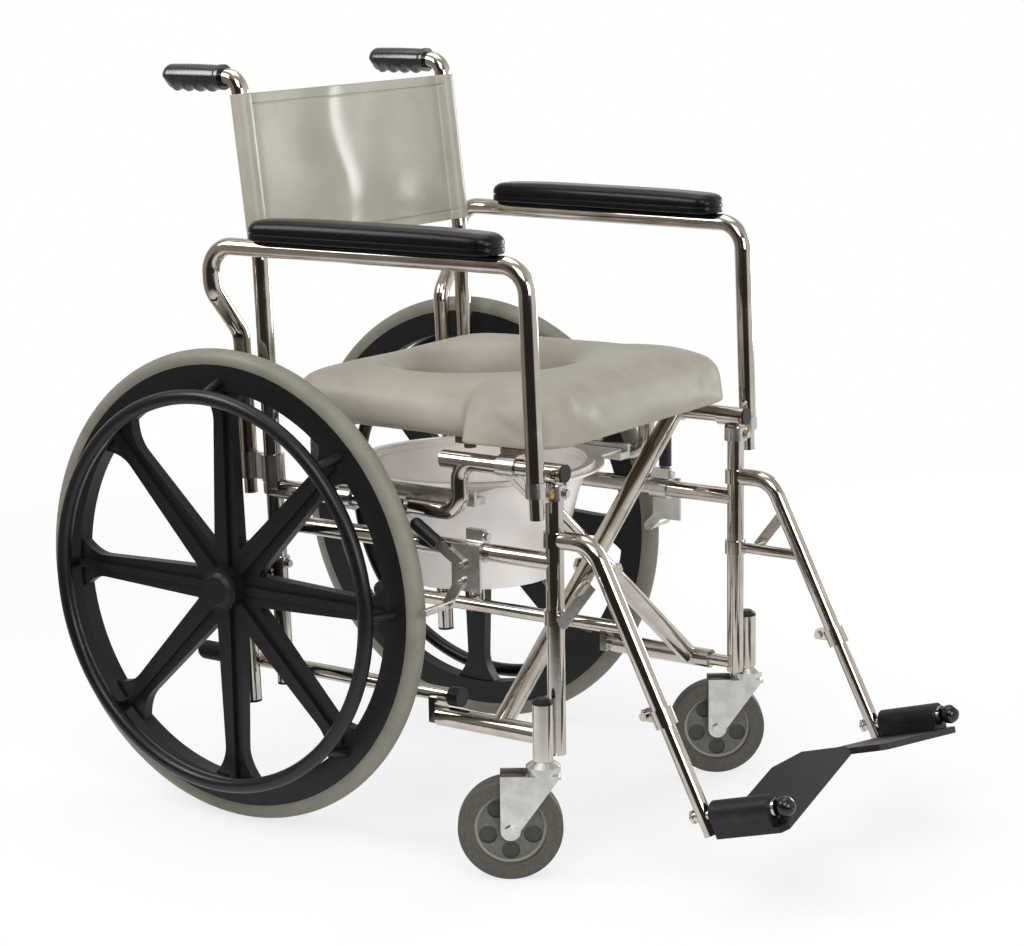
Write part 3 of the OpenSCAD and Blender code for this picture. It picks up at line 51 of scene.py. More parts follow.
class Wire:
    """One socket in a finish's node tree. Arithmetic on wires adds Math nodes."""

    def __init__(self, tree, socket):
        self.tree = tree
        self.socket = socket

    def node(self, kind, settings=None, inputs=None, out=0):
        made = self.tree.nodes.new("ShaderNode" + kind)
        for key, value in (settings or {}).items():
            if key == "stops":
                stops = made.color_ramp.elements
                stops[0].position, stops[-1].position = value[0][0], value[-1][0]
                for at, _ in value[1:-1]:
                    stops.new(at)
                for stop, (_, shade) in zip(stops, value):
                    stop.color = shade
            else:
                setattr(made, key, value)
        for key, value in (inputs or {}).items():
            if isinstance(value, Wire):
                self.tree.links.new(value.socket, made.inputs[key])
            else:
                made.inputs[key].default_value = value
        return Wire(self.tree, made.outputs[out])

    def maths(self, operation, *values):
        return self.node("Math", {"operation": operation}, dict(enumerate(values)))

    def __add__(self, other):
        return self.maths("ADD", self, other)

    def __sub__(self, other):
        return self.maths("SUBTRACT", self, other)

    def __rsub__(self, other):
        return self.maths("SUBTRACT", other, self)

    def __mul__(self, other):
        return self.maths("MULTIPLY", self, other)

    def __truediv__(self, other):
        return self.maths("DIVIDE", self, other)

    def __pow__(self, other):
        return self.maths("POWER", self, other)

    def __mod__(self, other):
        return self.maths("FLOORED_MODULO", self, other)

    def __gt__(self, other):
        return self.maths("GREATER_THAN", self, other)

    def __lt__(self, other):
        return self.maths("LESS_THAN", self, other)

    def __abs__(self):
        return self.maths("ABSOLUTE", self)

    def most(self, other):
        return self.maths("MAXIMUM", self, other)

    def least(self, other):
        return self.maths("MINIMUM", self, other)

    __radd__ = __add__
    __rmul__ = __mul__

    def part(self, axis):
        """One coordinate of a vector wire: 0, 1 or 2."""
        return self.node("SeparateXYZ", {}, {0: self}, out=axis)

    def vector(self, operation, *others, out=0):
        """Vector arithmetic with fixed vectors."""
        inputs = {0: self} | {i + 1: tuple(other) for i, other in enumerate(others)}
        return self.node("VectorMath", {"operation": operation}, inputs, out)

    def minus(self, place):
        return self.vector("SUBTRACT", place)

    def dot(self, way):
        return self.vector("DOT_PRODUCT", way, out="Value")

    def length(self):
        return self.vector("LENGTH", out="Value")

    def fade(self, low, high):
        """0 below low, 1 above high, smooth between."""
        return self.node("MapRange", {"interpolation_type": "SMOOTHSTEP"},
                         {"Value": self, "From Min": low, "From Max": high})

    def between(self, a, b):
        """Colour a where this wire is 0, colour b where it is 1."""
        return self.node("Mix", {"data_type": "RGBA"}, {0: self, 6: a, 7: b}, out=2)

    def clouds(self, size, detail=3.0, roughness=0.55):
        """Noise over this wire's coordinates, with patches about size metres across."""
        return self.node("TexNoise", {}, {"Vector": self, "Scale": 1 / size, "Detail": detail,
                                          "Roughness": roughness})


def paint(r, g, b):
    """A colour as read from a screen, in the linear values that a shader takes."""
    return tuple(((c / 255 + 0.055) / 1.055) ** 2.4 if c > 10 else c / 255 / 12.92
                 for c in (r, g, b)) + (1.0,)


def new_finish(name, colour, roughness, metallic=0.0, **fixed):
    """A material, its shader, and a wire with the piece's own coordinates in metres."""
    made = bpy.data.materials.new(name)
    made.use_nodes = True
    tree = made.node_tree
    shader = tree.nodes["Principled BSDF"]
    values = {"Base Color": colour, "Roughness": roughness, "Metallic": metallic, **fixed}
    for key, value in values.items():
        shader.inputs[key.replace("_", " ")].default_value = value
    here = tree.nodes.new("ShaderNodeTexCoord").outputs["Object"]
    return made, shader, Wire(tree, here)


def feed(shader, **wires):
    for key, wire in wires.items():
        wire.tree.links.new(wire.socket, shader.inputs[key.replace("_", " ")])


def dents(height, depth, strength=1.0):
    """Bump of a height wire, with depth in metres."""
    return height.node("Bump", {}, {"Height": height, "Distance": depth, "Strength": strength})


def dress(finish, *names):
    """Gives CAD nodes their finish."""
    for name in names:
        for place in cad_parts[name].material_slots:
            place.material = finish


def pair(*names):
    return [name + side for name in names for side in ("_right", "_left")]


bright_steel, shader, here = new_finish("bright_steel", paint(196, 190, 182), 0.10, 1.0)
smear = here.clouds(0.05, 4.0)
marks = here.clouds(0.0022, 2.0)
feed(shader,
     Base_Color=smear.fade(0.35, 0.7).between(paint(186, 179, 170), paint(206, 201, 194)),
     Roughness=0.05 + 0.06 * smear.fade(0.3, 0.75) + 0.04 * marks,
     Normal=dents(marks, 0.00003))
dress(bright_steel,
      *pair("side_frame", "back_post", "axle_post", "tipping_rod", "cross_member", "seat_rail"))


# ZINC FITTINGS
# Clamps, bands, hooks, sockets, bolts, axles and caster forks: pressed or turned steel with a bright
# zinc coat, which has a faint grain and is a little paler in patches.
zinc, shader, here = new_finish("zinc_plate", paint(190, 190, 186), 0.34, 1.0)
grain = here.clouds(0.0035, 4.0)
patch = here.clouds(0.018, 3.0)
feed(shader,
     Base_Color=patch.fade(0.35, 0.7).between(paint(196, 195, 191), paint(212, 211, 208)),
     Roughness=0.20 + 0.05 * patch + 0.05 * grain,
     Normal=dents(grain, 0.00005))
dress(zinc, "cross_bolt", "rail_saddles", "front_sockets", "rear_sockets", "brake_clamps",
      "frame_bolts", "rear_axles",
      *pair("wheel_bearings", "caster_fork", "hanger_latch", "brake_shoe"))


# PLUGS AND RUBBER TIPS
# Moulded black plastic caps in the open tube ends, and rubber tips pushed over the tipping rods. The
# rubber is duller, and its rim is scuffed grey by shoes.
black_plastic, shader, here = new_finish("black_plastic", paint(16, 16, 18), 0.36,
                                         Specular_IOR_Level=0.35)
speckle = here.clouds(0.0016, 2.0)
sheen = here.clouds(0.06, 3.0)
feed(shader,
     Base_Color=speckle.fade(0.45, 0.75).between(paint(12, 12, 14), paint(24, 24, 27)),
     Roughness=0.28 + 0.14 * sheen + 0.08 * speckle,
     Normal=dents(speckle, 0.00010))
dress(black_plastic, "tube_plugs")

black_rubber, shader, here = new_finish("black_rubber", paint(20, 20, 21), 0.62,
                                        Specular_IOR_Level=0.35)
scuff = here.clouds(0.009, 5.0, 0.65)
feed(shader,
     Base_Color=scuff.fade(0.52, 0.78).between(paint(15, 15, 16), paint(44, 43, 42)),
     Roughness=0.52 + 0.22 * scuff,
     Normal=dents(scuff, 0.00018))
dress(black_rubber, "rubber_tips")


# HAND GRIPS
# Soft black plastic grips pushed over the handle tubes. Each is moulded in one piece, with a rounded
# rear end, a collar at the front, and four finger grooves along its underside.

def choose(kind, test):
    """In edit mode, selects only the vertices, edges or faces whose middle passes the test."""
    bpy.ops.mesh.select_mode(type=kind)
    bpy.ops.mesh.select_all(action="DESELECT")
    mesh = bpy.context.edit_object.data
    shape = bmesh.from_edit_mesh(mesh)
    for item in {"VERT": shape.verts, "EDGE": shape.edges, "FACE": shape.faces}[kind]:
        corners = [item] if kind == "VERT" else item.verts
        middle = sum((v.co for v in corners), Vector()) / len(corners)
        if test(middle, item):
            item.select_set(True)
    shape.select_flush_mode()
    bmesh.update_edit_mesh(mesh)


def started(name):
    """The primitive just added, named and in edit mode, all of it selected."""
    made = bpy.context.active_object
    made.name = made.data.name = name
    bpy.ops.object.mode_set(mode="EDIT")
    bpy.ops.mesh.select_all(action="SELECT")
    return made


def modify(made, kind, **settings):
    """Adds one modifier and applies it."""
    change = made.modifiers.new(kind.title(), kind)
    for key, value in settings.items():
        setattr(change, key, value)
    bpy.ops.object.select_all(action="DESELECT")
    bpy.context.view_layer.objects.active = made
    made.select_set(True)
    bpy.ops.object.modifier_apply(modifier=change.name)


def finished(made, finish, body, angle=40):
    """Back to object mode: one finish, smooth but for sharp edges, riding on its body."""
    if bpy.context.mode != "OBJECT":
        bpy.ops.object.mode_set(mode="OBJECT")
    bpy.ops.object.select_all(action="DESELECT")
    bpy.context.view_layer.objects.active = made
    made.select_set(True)
    bpy.ops.object.shade_smooth_by_angle(angle=math.radians(angle))
    made.select_set(False)
    made.data.materials.clear()
    made.data.materials.append(finish)
    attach(made, body)
    return made


grip_black, shader, here = new_finish("grip_black", paint(16, 16, 18), 0.2, Specular_IOR_Level=1.0)
pores = here.clouds(0.0014, 2.0)
feed(shader,
     Base_Color=pores.fade(0.4, 0.8).between(paint(12, 12, 14), paint(26, 26, 29)),
     Roughness=0.12 + 0.08 * here.clouds(0.03) + 0.04 * pores,
     Normal=dents(pores, 0.00012))

low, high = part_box("hand_grips")
grip_r, handle_x, handle_share = 0.016, 0.212, 0.69
grip_front, grip_l, grip_z = low.y, high.y - low.y, high.z - grip_r
collar_l, end_l = 0.006, 0.013
grooves, groove_deep = 4, 0.0034
groove_pitch = grip_l / (grooves + 1)
steps = 66
for side, x in (("right", -handle_x), ("left", handle_x)):
    bpy.ops.mesh.primitive_circle_add(vertices=40, radius=grip_r, fill_type="NOTHING",
                                      location=(x, grip_front, grip_z), rotation=(math.pi / 2, 0, 0))
    bpy.ops.object.transform_apply(location=True, rotation=True, scale=True)
    grip = started("hand_grip_" + side)
    for i in range(1, steps + 1):
        gone = i / steps * grip_l
        left = grip_l - gone
        bpy.ops.mesh.extrude_region_move(TRANSFORM_OT_translate={"value": (0, grip_l / steps, 0)})
        # the ring's radius: a raised collar in front, a slight belly, a rounded rear end
        radius = grip_r * (0.93 + 0.05 * math.sin(math.pi * gone / grip_l))
        radius = grip_r if gone < collar_l else radius
        if left < end_l:
            radius *= math.sqrt(max(0.02, 1 - (1 - left / end_l) ** 2))
        wave = 0.5 - 0.5 * math.cos(2 * math.pi * (gone - groove_pitch / 2) / groove_pitch)
        grooved = groove_pitch / 2 < gone < (grooves + 0.5) * groove_pitch
        drop = groove_deep * wave if grooved else 0
        for v in bmesh.from_edit_mesh(grip.data).verts:
            if v.select:
                out = Vector((v.co.x - x, 0, v.co.z - grip_z)).normalized()
                under = max(0, -out.z) ** 1.5
                v.co.x, v.co.z = x + out.x * radius, grip_z + out.z * radius - under * drop
    bmesh.update_edit_mesh(grip.data)
    bpy.ops.mesh.edge_face_add()
    bpy.ops.mesh.select_all(action="SELECT")
    bpy.ops.mesh.normals_make_consistent(inside=False)
    # the mouth turns in to the tube
    choose("EDGE", lambda middle, e: e.is_boundary)
    bpy.ops.mesh.extrude_region_move(TRANSFORM_OT_translate={"value": (0, 0, 0)})
    bpy.ops.transform.resize(value=(handle_share, 1, handle_share),
                             center_override=(x, grip_front, grip_z))
    bpy.ops.mesh.extrude_region_move(TRANSFORM_OT_translate={"value": (0, collar_l, 0)})
    bpy.ops.mesh.edge_face_add()
    bpy.ops.mesh.select_all(action="SELECT")
    bpy.ops.mesh.normals_make_consistent(inside=False)
    finished(grip, grip_black, "frame", 50)
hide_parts("hand_grips")


# BACK SLING
# One panel of grey vinyl-coated cloth, pulled taut between the back posts. Each end is folded round
# its post and sewn down inboard of it; top and bottom edges are hemmed with a single row of stitches.
sling_vinyl, shader, here = new_finish("sling_vinyl", paint(160, 157, 144), 0.3,
                                       Specular_IOR_Level=0.5)
cloth = here.node("UVMap", {"uv_map": "cut"})
across, along = cloth.part(0), cloth.part(1)
post_x, sleeve_r, flap = 0.212, 0.01235, 0.030
wrap = flap + math.pi * sleeve_r
hug, slope = 1.05, 0.0090
lay_x = post_x - sleeve_r * math.sin(hug) - slope * math.cos(hug)
sling_w, sling_l = 2 * (wrap + sleeve_r * hug + slope + lay_x), 0.1973
hem, seam, pitch, stitch, thread_r, pull = 0.013, 0.004, 0.0042, 0.62, 0.0006, 0.0035
grain = here.clouds(0.0016, 3.0)
soil = here.clouds(0.07, 4.0)
from_edge = along.least(sling_l - along)
from_end = across.least(sling_w - across)
hem_line = abs(from_edge - hem)
end_line = abs(from_end - seam)
hem_thread = (hem_line < thread_r) * ((across % pitch) < pitch * stitch) * (from_end > wrap + 0.014)
end_thread = (end_line < thread_r) * ((along % pitch) < pitch * stitch)
thread = hem_thread.most(end_thread)
pucker = (1 - hem_line.fade(0.0, pull)) * from_end.fade(wrap, wrap + 0.02)
pucker = pucker.most(1 - end_line.fade(0.0, pull))
vinyl_shade = soil.fade(0.3, 0.75).between(paint(150, 147, 134), paint(165, 162, 150))
feed(shader,
     Base_Color=thread.between(vinyl_shade, paint(112, 92, 80)),
     Roughness=0.26 + 0.10 * soil + 0.06 * grain,
     Normal=dents(grain * 0.25 - pucker * 0.9 + thread * 0.5, 0.0006))

post_z, sling_z, panel_gap, sag, cloth_thick = 0.718, 0.727, 0.0049, 0.0062, 0.0019
post_low, post_high = Vector((0, 0.22119, post_z)), Vector((0, 0.24736, 0.943))
post_up = (post_high - post_low).normalized()
post_back = Vector((0, post_up.z, -post_up.y))
sling_foot = post_low + post_up * ((sling_z - post_z) / post_up.z)


def swelling(x, middle_x, width, h, middle_h, height):
    """A soft round rise in the panel: 1 at its middle, falling off with x and with height h."""
    return math.exp(-((x - middle_x) / width) ** 2 - ((h - middle_h) / height) ** 2)


def sling_point(u, v):
    """Place of a point of the cut cloth, u metres across it and v metres up it."""
    side = -1 if u < sling_w / 2 else 1
    s = u if side < 0 else sling_w - u
    if s < flap:
        # the flap sewn behind the panel, from its edge out to the back of the post
        reach = 1 - s / flap
        x = post_x - flap * reach
        w = sleeve_r + (panel_gap - sleeve_r) * reach * reach * (3 - 2 * reach)
    elif s < wrap:
        a = (s - flap) / sleeve_r
        x, w = post_x + sleeve_r * math.sin(a), sleeve_r * math.cos(a)
    else:
        # the panel: it hugs the post, leaves it at a slant, then lies flat and sags to the middle
        gone = s - wrap
        a = min(hug, gone / sleeve_r)
        down = min(slope, max(0, gone - sleeve_r * hug))
        x = post_x - sleeve_r * math.sin(a) - down * math.cos(hug)
        x -= max(0, gone - sleeve_r * hug - slope)
        w = -sleeve_r * math.cos(a) + down * math.sin(hug)
        k = 1 - (x / (post_x - flap)) ** 2
        if k > 0:
            h, at = v / sling_l, side * x
            w += sag * k
            # a soft standing crease up the middle, a bulge low on the left, slack between
            bow = at + 0.033 - 0.012 * math.sin(2 * math.pi * (h - 0.05))
            crease = math.exp(-(bow / (0.046 if bow < 0 else 0.024)) ** 2) * (1 - 0.4 * h ** 3)
            w -= k * 0.0070 * crease
            w -= k * 0.0078 * swelling(at, 0.086, 0.042, h, 0.20, 0.18)
            w += k * 0.0022 * swelling(at, 0.060, 0.050, h, 0.62, 0.30)
            w += k * 0.0018 * swelling(at, -0.090, 0.070, h, 0.45, 0.40)
    return sling_foot + Vector((side * x, 0, 0)) + post_back * w + post_up * v


bpy.ops.mesh.primitive_grid_add(x_subdivisions=188, y_subdivisions=64, size=1, location=(0, 0, 0))
sling = started("back_sling_cloth")
bpy.ops.object.mode_set(mode="OBJECT")
cut = sling.data.uv_layers[0] if sling.data.uv_layers else sling.data.uv_layers.new(name="cut")
cut.name = "cut"
flat = [((v.co.x + 0.5) * sling_w, (v.co.y + 0.5) * sling_l) for v in sling.data.vertices]
for loop in sling.data.loops:
    cut.data[loop.index].uv = flat[loop.vertex_index]
for v, (u, t) in zip(sling.data.vertices, flat):
    v.co = sling_point(u, t)
modify(sling, "SOLIDIFY", thickness=cloth_thick, offset=0)
modify(sling, "BEVEL", width=0.0006, segments=2, limit_method="ANGLE")
finished(sling, sling_vinyl, "frame", 60)
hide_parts("back_sling")


# REAR WHEELS
# Moulded wheels: hub, eight ridged spokes and rim in one piece of black glass-filled plastic, with a
# black hand rim on standoffs. The solid tyre is pale grey rubber, rubbed lighter along its tread.
wheel_black, shader, here = new_finish("wheel_black", paint(17, 18, 21), 0.40,
                                       Specular_IOR_Level=0.32)
fibre = here.clouds(0.0021, 3.0)
cloud = here.clouds(0.09, 3.0)
feed(shader,
     Base_Color=fibre.fade(0.45, 0.8).between(paint(13, 13, 16), paint(28, 29, 33)),
     Roughness=0.30 + 0.18 * cloud + 0.10 * fibre,
     Normal=dents(fibre, 0.00016))
dress(wheel_black, *pair("rear_wheel"))

rim_black, shader, here = new_finish("hand_rim_black", paint(14, 14, 17), 0.28,
                                     Specular_IOR_Level=0.4)
fibre = here.clouds(0.0018, 2.0)
feed(shader,
     Base_Color=fibre.fade(0.45, 0.8).between(paint(11, 11, 13), paint(24, 24, 28)),
     Roughness=0.22 + 0.14 * here.clouds(0.05) + 0.06 * fibre,
     Normal=dents(fibre, 0.00008))
dress(rim_black, *pair("pushrim"))

axle_y, axle_z = 0.240364, 0.305
tyre_grey, shader, here = new_finish("tyre_grey", paint(115, 112, 101), 0.5)
y, z = here.part(1) - axle_y, here.part(2) - axle_z
radius = (y * y + z * z) ** 0.5
dust = here.clouds(0.004, 4.0)
smear = here.clouds(0.05, 3.0)
tread = radius.fade(0.2985, 0.3035)
grey = smear.fade(0.3, 0.7).between(paint(110, 108, 97), paint(122, 119, 108))
feed(shader,
     Base_Color=(tread * dust.fade(0.3, 0.7)).between(grey, paint(127, 124, 113)),
     Roughness=0.42 + 0.14 * tread + 0.10 * dust,
     Normal=dents(dust, 0.00002))
dress(tyre_grey, *pair("rear_tyre"))


# CASTERS
# Swivel casters in zinc forks. A brownish rubber tyre is moulded on a grey plastic wheel, whose pale
# rim shows beside it; the pockets in the wheel's web are darkened with painted shade.
caster_r, caster_rim, trail = 0.0635, 0.044, 0.040
stem_x, stem_y = 0.242, axle_y - 0.460
swivel = math.radians(35)
for side, s in (("right", -1), ("left", 1)):
    stem = Vector((s * stem_x, stem_y, 0))
    axle = stem + Vector((-math.sin(swivel) * trail, math.cos(swivel) * trail, caster_r))
    turned = (math.cos(swivel), math.sin(swivel), 0)
    caster_grey, shader, here = new_finish("caster_grey_" + side, paint(88, 88, 86), 0.5)
    arm = here.minus(axle)
    aside, reach = arm.dot(turned), arm.length()
    radius = (reach * reach - aside * aside) ** 0.5
    tyre = radius.fade(caster_rim - 0.0012, caster_rim + 0.0004)
    dust = here.clouds(0.004, 4.0)
    web = dust.fade(0.3, 0.75).between(paint(84, 82, 77), paint(102, 100, 94))
    # painted shade: the web within about 3 mm of the wheel's middle plane, the pocket floors, is made
    # dark
    web = (1 - abs(aside).fade(0.0022, 0.0036)).between(web, paint(58, 57, 54))
    web = radius.fade(caster_rim - 0.0042, caster_rim - 0.0030).between(web, paint(150, 147, 140))
    tread = (tyre * dust.fade(0.35, 0.8)).between(paint(66, 63, 56), paint(82, 79, 71))
    feed(shader,
         Base_Color=tyre.between(web, tread),
         Roughness=0.40 + 0.16 * tyre + 0.10 * dust,
         Normal=dents(dust, 0.00015))
    dress(caster_grey, "caster_wheel_" + side)


# FOOTRESTS
# Bright bent tube hangers with zinc latches, sliding footrest tubes, bright pins that end in a black
# ball, and black moulded plates, which shoes have rubbed to a lighter grey in patches.
dress(bright_steel, *pair("hanger", "footrest_tube"))
pin_at, pin_way, ball_from = Vector((0.212, -0.4257, 0.106)), (0, -0.96126, 0.27564), 0.1022
for side, s in (("right", -1), ("left", 1)):
    # bright pin, nut and ring up to the black ball at the front
    pin_steel, shader, here = new_finish("foot_pin_" + side, paint(16, 16, 18), 0.2)
    ball = here.minus((s * pin_at.x, pin_at.y, pin_at.z)).dot(pin_way) > ball_from
    grain = here.clouds(0.003, 3.0)
    feed(shader,
         Base_Color=ball.between(grain.between(paint(186, 184, 180), paint(212, 211, 207)),
                                 grain.between(paint(12, 12, 14), paint(24, 24, 27))),
         Metallic=1 - ball, Roughness=0.12 + 0.10 * grain, Normal=dents(grain, 0.00005))
    dress(pin_steel, "foot_pin_" + side)
plate_black, shader, here = new_finish("plate_black", paint(18, 18, 20), 0.40,
                                       Specular_IOR_Level=0.35)
grit = here.clouds(0.0024, 3.0)
rub = here.clouds(0.03, 4.0)
bare = rub.fade(0.45, 0.8) * grit.fade(0.3, 0.7)
feed(shader,
     Base_Color=bare.between(paint(14, 14, 16), paint(40, 40, 43)),
     Roughness=0.36 + 0.14 * rub + 0.10 * grit,
     Normal=dents(grit, 0.00018))
dress(plate_black, *pair("footplate"))


# BRAKES
# Bright zinc levers, each with a black plastic sleeve on its upper end, pivoted on the plate of the
# clamp that grips the mid rail. The sleeve is drawn by its place along the lever.
lever_x, lever_y, lever_z, sleeve_from = 0.2323, axle_y - 0.338, 0.370, 0.0378
for side, s, back in (("right", -1, 58), ("left", 1, 0)):
    pivot = (s * lever_x, lever_y, lever_z)
    lean = math.radians(back)
    run = (0, math.sin(lean), math.cos(lean))
    lever, shader, here = new_finish("brake_lever_" + side, paint(30, 30, 33), 0.4)
    sleeve = here.minus(pivot).dot(run) > sleeve_from
    grain = here.clouds(0.003, 3.0)
    feed(shader,
         Base_Color=sleeve.between(grain.between(paint(170, 169, 165), paint(206, 206, 203)),
                                   grain.between(paint(12, 12, 14), paint(26, 26, 29))),
         Metallic=1 - sleeve,
         Roughness=0.18 + 0.12 * sleeve + 0.12 * grain,
         Normal=dents(grain, 0.0001))
    dress(lever, "brake_lever_" + side)


# ARMS
# Bent bright tube with reduced ends and a sprung brass button, and on each rail a moulded pad of
# black self-skinning foam: rounded top, and a groove round its sides above the mounting lip.
dress(bright_steel, *pair("arm_tube"))
brass, shader, here = new_finish("brass", paint(188, 152, 84), 0.3, 1.0)
grain = here.clouds(0.002, 3.0)
feed(shader, Base_Color=grain.between(paint(168, 130, 66), paint(206, 172, 104)),
     Roughness=0.22 + 0.16 * grain, Normal=dents(grain, 0.00006))
dress(brass, *pair("arm_button"))

pad_black, shader, here = new_finish("pad_black", paint(14, 14, 17), 0.2, Specular_IOR_Level=0.22)
skin = here.clouds(0.0019, 3.0)
wear = here.clouds(0.05, 3.0)
feed(shader,
     Base_Color=skin.fade(0.45, 0.8).between(paint(10, 10, 13), paint(23, 23, 28)),
     Roughness=0.16 + 0.10 * wear + 0.06 * skin,
     Normal=dents(skin, 0.00022))

pad_l, pad_w, pad_h = 0.362, 0.051, 0.0275
corner_r, crown_r, foot_r = 0.021, 0.0135, 0.003
groove_low, groove_high, groove_in = 0.0085, 0.0105, 0.0022
fall, fall_from = 0.0040, 0.011
splay = math.atan2(0.016, 0.479)
for side, s in (("right", -1), ("left", 1)):
    low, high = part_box("arm_pad_" + side)
    middle = (low + high) / 2
    bpy.ops.mesh.primitive_cube_add(size=1, location=(0, 0, pad_h / 2),
                                    scale=(pad_w, pad_l, pad_h))
    bpy.ops.object.transform_apply(location=True, rotation=True, scale=True)
    pad = started("arm_pad_soft_" + side)
    choose("EDGE", lambda m, e: (abs(m.z - pad_h / 2) < 1e-5
                                 and abs(m.x) > 0.01 and abs(m.y) > 0.01))
    bpy.ops.mesh.bevel(offset=corner_r, segments=7, affect="EDGES")
    choose("FACE", lambda m, f: f.normal.z > 0.9)
    bpy.ops.mesh.bevel(offset=crown_r, segments=7, affect="EDGES")
    choose("FACE", lambda m, f: f.normal.z < -0.9)
    bpy.ops.mesh.bevel(offset=foot_r, segments=3, affect="EDGES")
    for level in (groove_low, groove_high):
        bpy.ops.mesh.select_all(action="SELECT")
        bpy.ops.mesh.bisect(plane_co=(0, 0, level), plane_no=(0, 0, 1))
    choose("FACE", lambda m, f: groove_low < m.z < groove_high and abs(f.normal.z) < 0.3)
    bpy.ops.mesh.extrude_region_shrink_fatten(TRANSFORM_OT_shrink_fatten={"value": -groove_in})
    for at in [-0.15 + 0.02 * i for i in range(16)]:
        bpy.ops.mesh.select_all(action="SELECT")
        bpy.ops.mesh.bisect(plane_co=(0, at, 0), plane_no=(0, 1, 0))
    # the top is crowned along its length and falls towards both ends
    for v in bmesh.from_edit_mesh(pad.data).verts:
        if v.co.z > fall_from:
            at_end = (v.co.y / (pad_l / 2)) ** 4
            v.co.z -= fall * at_end * (v.co.z - fall_from) / (pad_h - fall_from)
    bmesh.update_edit_mesh(pad.data)
    bpy.ops.mesh.select_all(action="SELECT")
    bpy.ops.transform.rotate(value=s * splay, orient_axis="Z", center_override=(0, 0, 0))
    bpy.ops.transform.translate(value=(middle.x, middle.y, low.z))
    bpy.ops.object.mode_set(mode="OBJECT")
    modify(pad, "BEVEL", width=0.0005, segments=2, limit_method="ANGLE",
           angle_limit=math.radians(50))
    finished(pad, pad_black, "arm_" + side, 60)
    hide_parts("arm_pad_" + side)


# RAIL ENDS
# The tube of each raised seat rail runs on a little past the bend where the rail drops. Its rear end
# is cut square and left open.
tube_r, tube_wall, stub_l, stub_deep = 0.011, 0.0015, 0.048, 0.02
rail_x, rail_bend_y, rail_z = 0.212, -0.105636, 0.492
for side, x in (("right", -rail_x), ("left", rail_x)):
    bpy.ops.mesh.primitive_cylinder_add(vertices=40, radius=tube_r, depth=stub_l,
                                        location=(x, rail_bend_y + stub_l / 2, rail_z),
                                        rotation=(math.pi / 2, 0, 0))
    bpy.ops.object.transform_apply(location=True, rotation=True, scale=True)
    stub = started("rail_end_" + side)
    choose("FACE", lambda m, f: f.normal.y > 0.9)
    bpy.ops.mesh.inset(thickness=tube_wall)
    bpy.ops.mesh.extrude_region_move(TRANSFORM_OT_translate={"value": (0, -stub_deep, 0)})
    finished(stub, bright_steel, "frame")


# SEAT
# A board with a padded ring of grey vinyl over foam: rolled sides drawn in underneath, a square block
# across the front and a flared opening. The cover swells between the board's edge and the opening.
board_brown, shader, here = new_finish("sealed_board", paint(92, 76, 60), 0.6)
fibre = here.clouds(0.006, 5.0)
feed(shader, Base_Color=fibre.fade(0.3, 0.7).between(paint(74, 59, 45), paint(108, 90, 71)),
     Roughness=0.52 + 0.2 * fibre, Normal=dents(fibre, 0.0002))
dress(board_brown, "seat_board")

seat_vinyl, shader, here = new_finish("seat_vinyl", paint(152, 147, 134), 0.44,
                                      Specular_IOR_Level=0.45)
grain = here.clouds(0.0018, 3.0)
soil = here.clouds(0.08, 4.0)
feed(shader,
     Base_Color=soil.fade(0.3, 0.75).between(paint(145, 140, 127), paint(158, 153, 140)),
     Roughness=0.36 + 0.14 * soil + 0.08 * grain,
     Normal=dents(grain, 0.00022))

seat = bpy.data.objects.new("padded_seat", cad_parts["seat_cushion"].data.copy())
bpy.context.scene.collection.objects.link(seat)
bpy.context.view_layer.objects.active = seat
seat.select_set(True)
bpy.ops.object.mode_set(mode="EDIT")
bpy.ops.mesh.select_all(action="SELECT")
bpy.ops.mesh.remove_doubles(threshold=0.00005)
bpy.ops.mesh.normals_make_consistent(inside=False)
bpy.ops.object.mode_set(mode="OBJECT")
seat.data.remesh_voxel_size = 0.005
bpy.ops.object.voxel_remesh()
seat_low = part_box("seat_cushion")[0]
opening, roll, fuller, swell = Vector((0, 0.0364)), 0.034, 0.013, 0.004
block_l, block_blend = 0.07, 0.05
for v in seat.data.vertices:
    # the rolled sides and back are fuller below than the plain solid; the front block is not
    out = Vector((v.normal.x, v.normal.y))
    if out.length > 0.2 and out.dot(Vector((v.co.x, v.co.y)) - opening) > 0:
        under = max(0, 1 - (v.co.z - seat_low.z) / roll)
        behind = min(1, max(0, (v.co.y - seat_low.y - block_l) / block_blend))
        out = out.normalized() * (fuller * under * behind)
        v.co.x, v.co.y = v.co.x + out.x, v.co.y + out.y
bpy.ops.object.mode_set(mode="EDIT")
choose("VERT", lambda co, v: co.z > seat_low.z + swell)
bpy.ops.transform.shrink_fatten(value=-swell)
bpy.ops.mesh.select_all(action="SELECT")
bpy.ops.mesh.vertices_smooth(factor=0.5, repeat=4)
bpy.ops.object.mode_set(mode="OBJECT")
# the cover, held at the board, is blown up a little by the foam; no point goes further than cap
held_h, cap, steps = 0.006, 0.0045, 20
still = [v.co.copy() for v in seat.data.vertices]
held = [v.index for v in seat.data.vertices if v.co.z < seat_low.z + held_h]
seat.vertex_groups.new(name="seated").add(held, 1.0, "REPLACE")
cover = seat.modifiers.new("Cover", "CLOTH")
cover.settings.quality = 5
cover.settings.mass = 0.3
cover.settings.tension_stiffness = cover.settings.compression_stiffness = 15
cover.settings.bending_stiffness = 0.5
cover.settings.use_pressure = True
cover.settings.uniform_pressure_force = 4
cover.settings.vertex_group_mass = "seated"
cover.settings.effector_weights.gravity = 0
cover.collision_settings.use_collision = False
for step in range(1, steps + 1):
    bpy.context.scene.frame_set(step)
bpy.ops.object.select_all(action="DESELECT")
bpy.context.view_layer.objects.active = seat
seat.select_set(True)
bpy.ops.object.modifier_apply(modifier="Cover")
bpy.context.scene.frame_set(1)
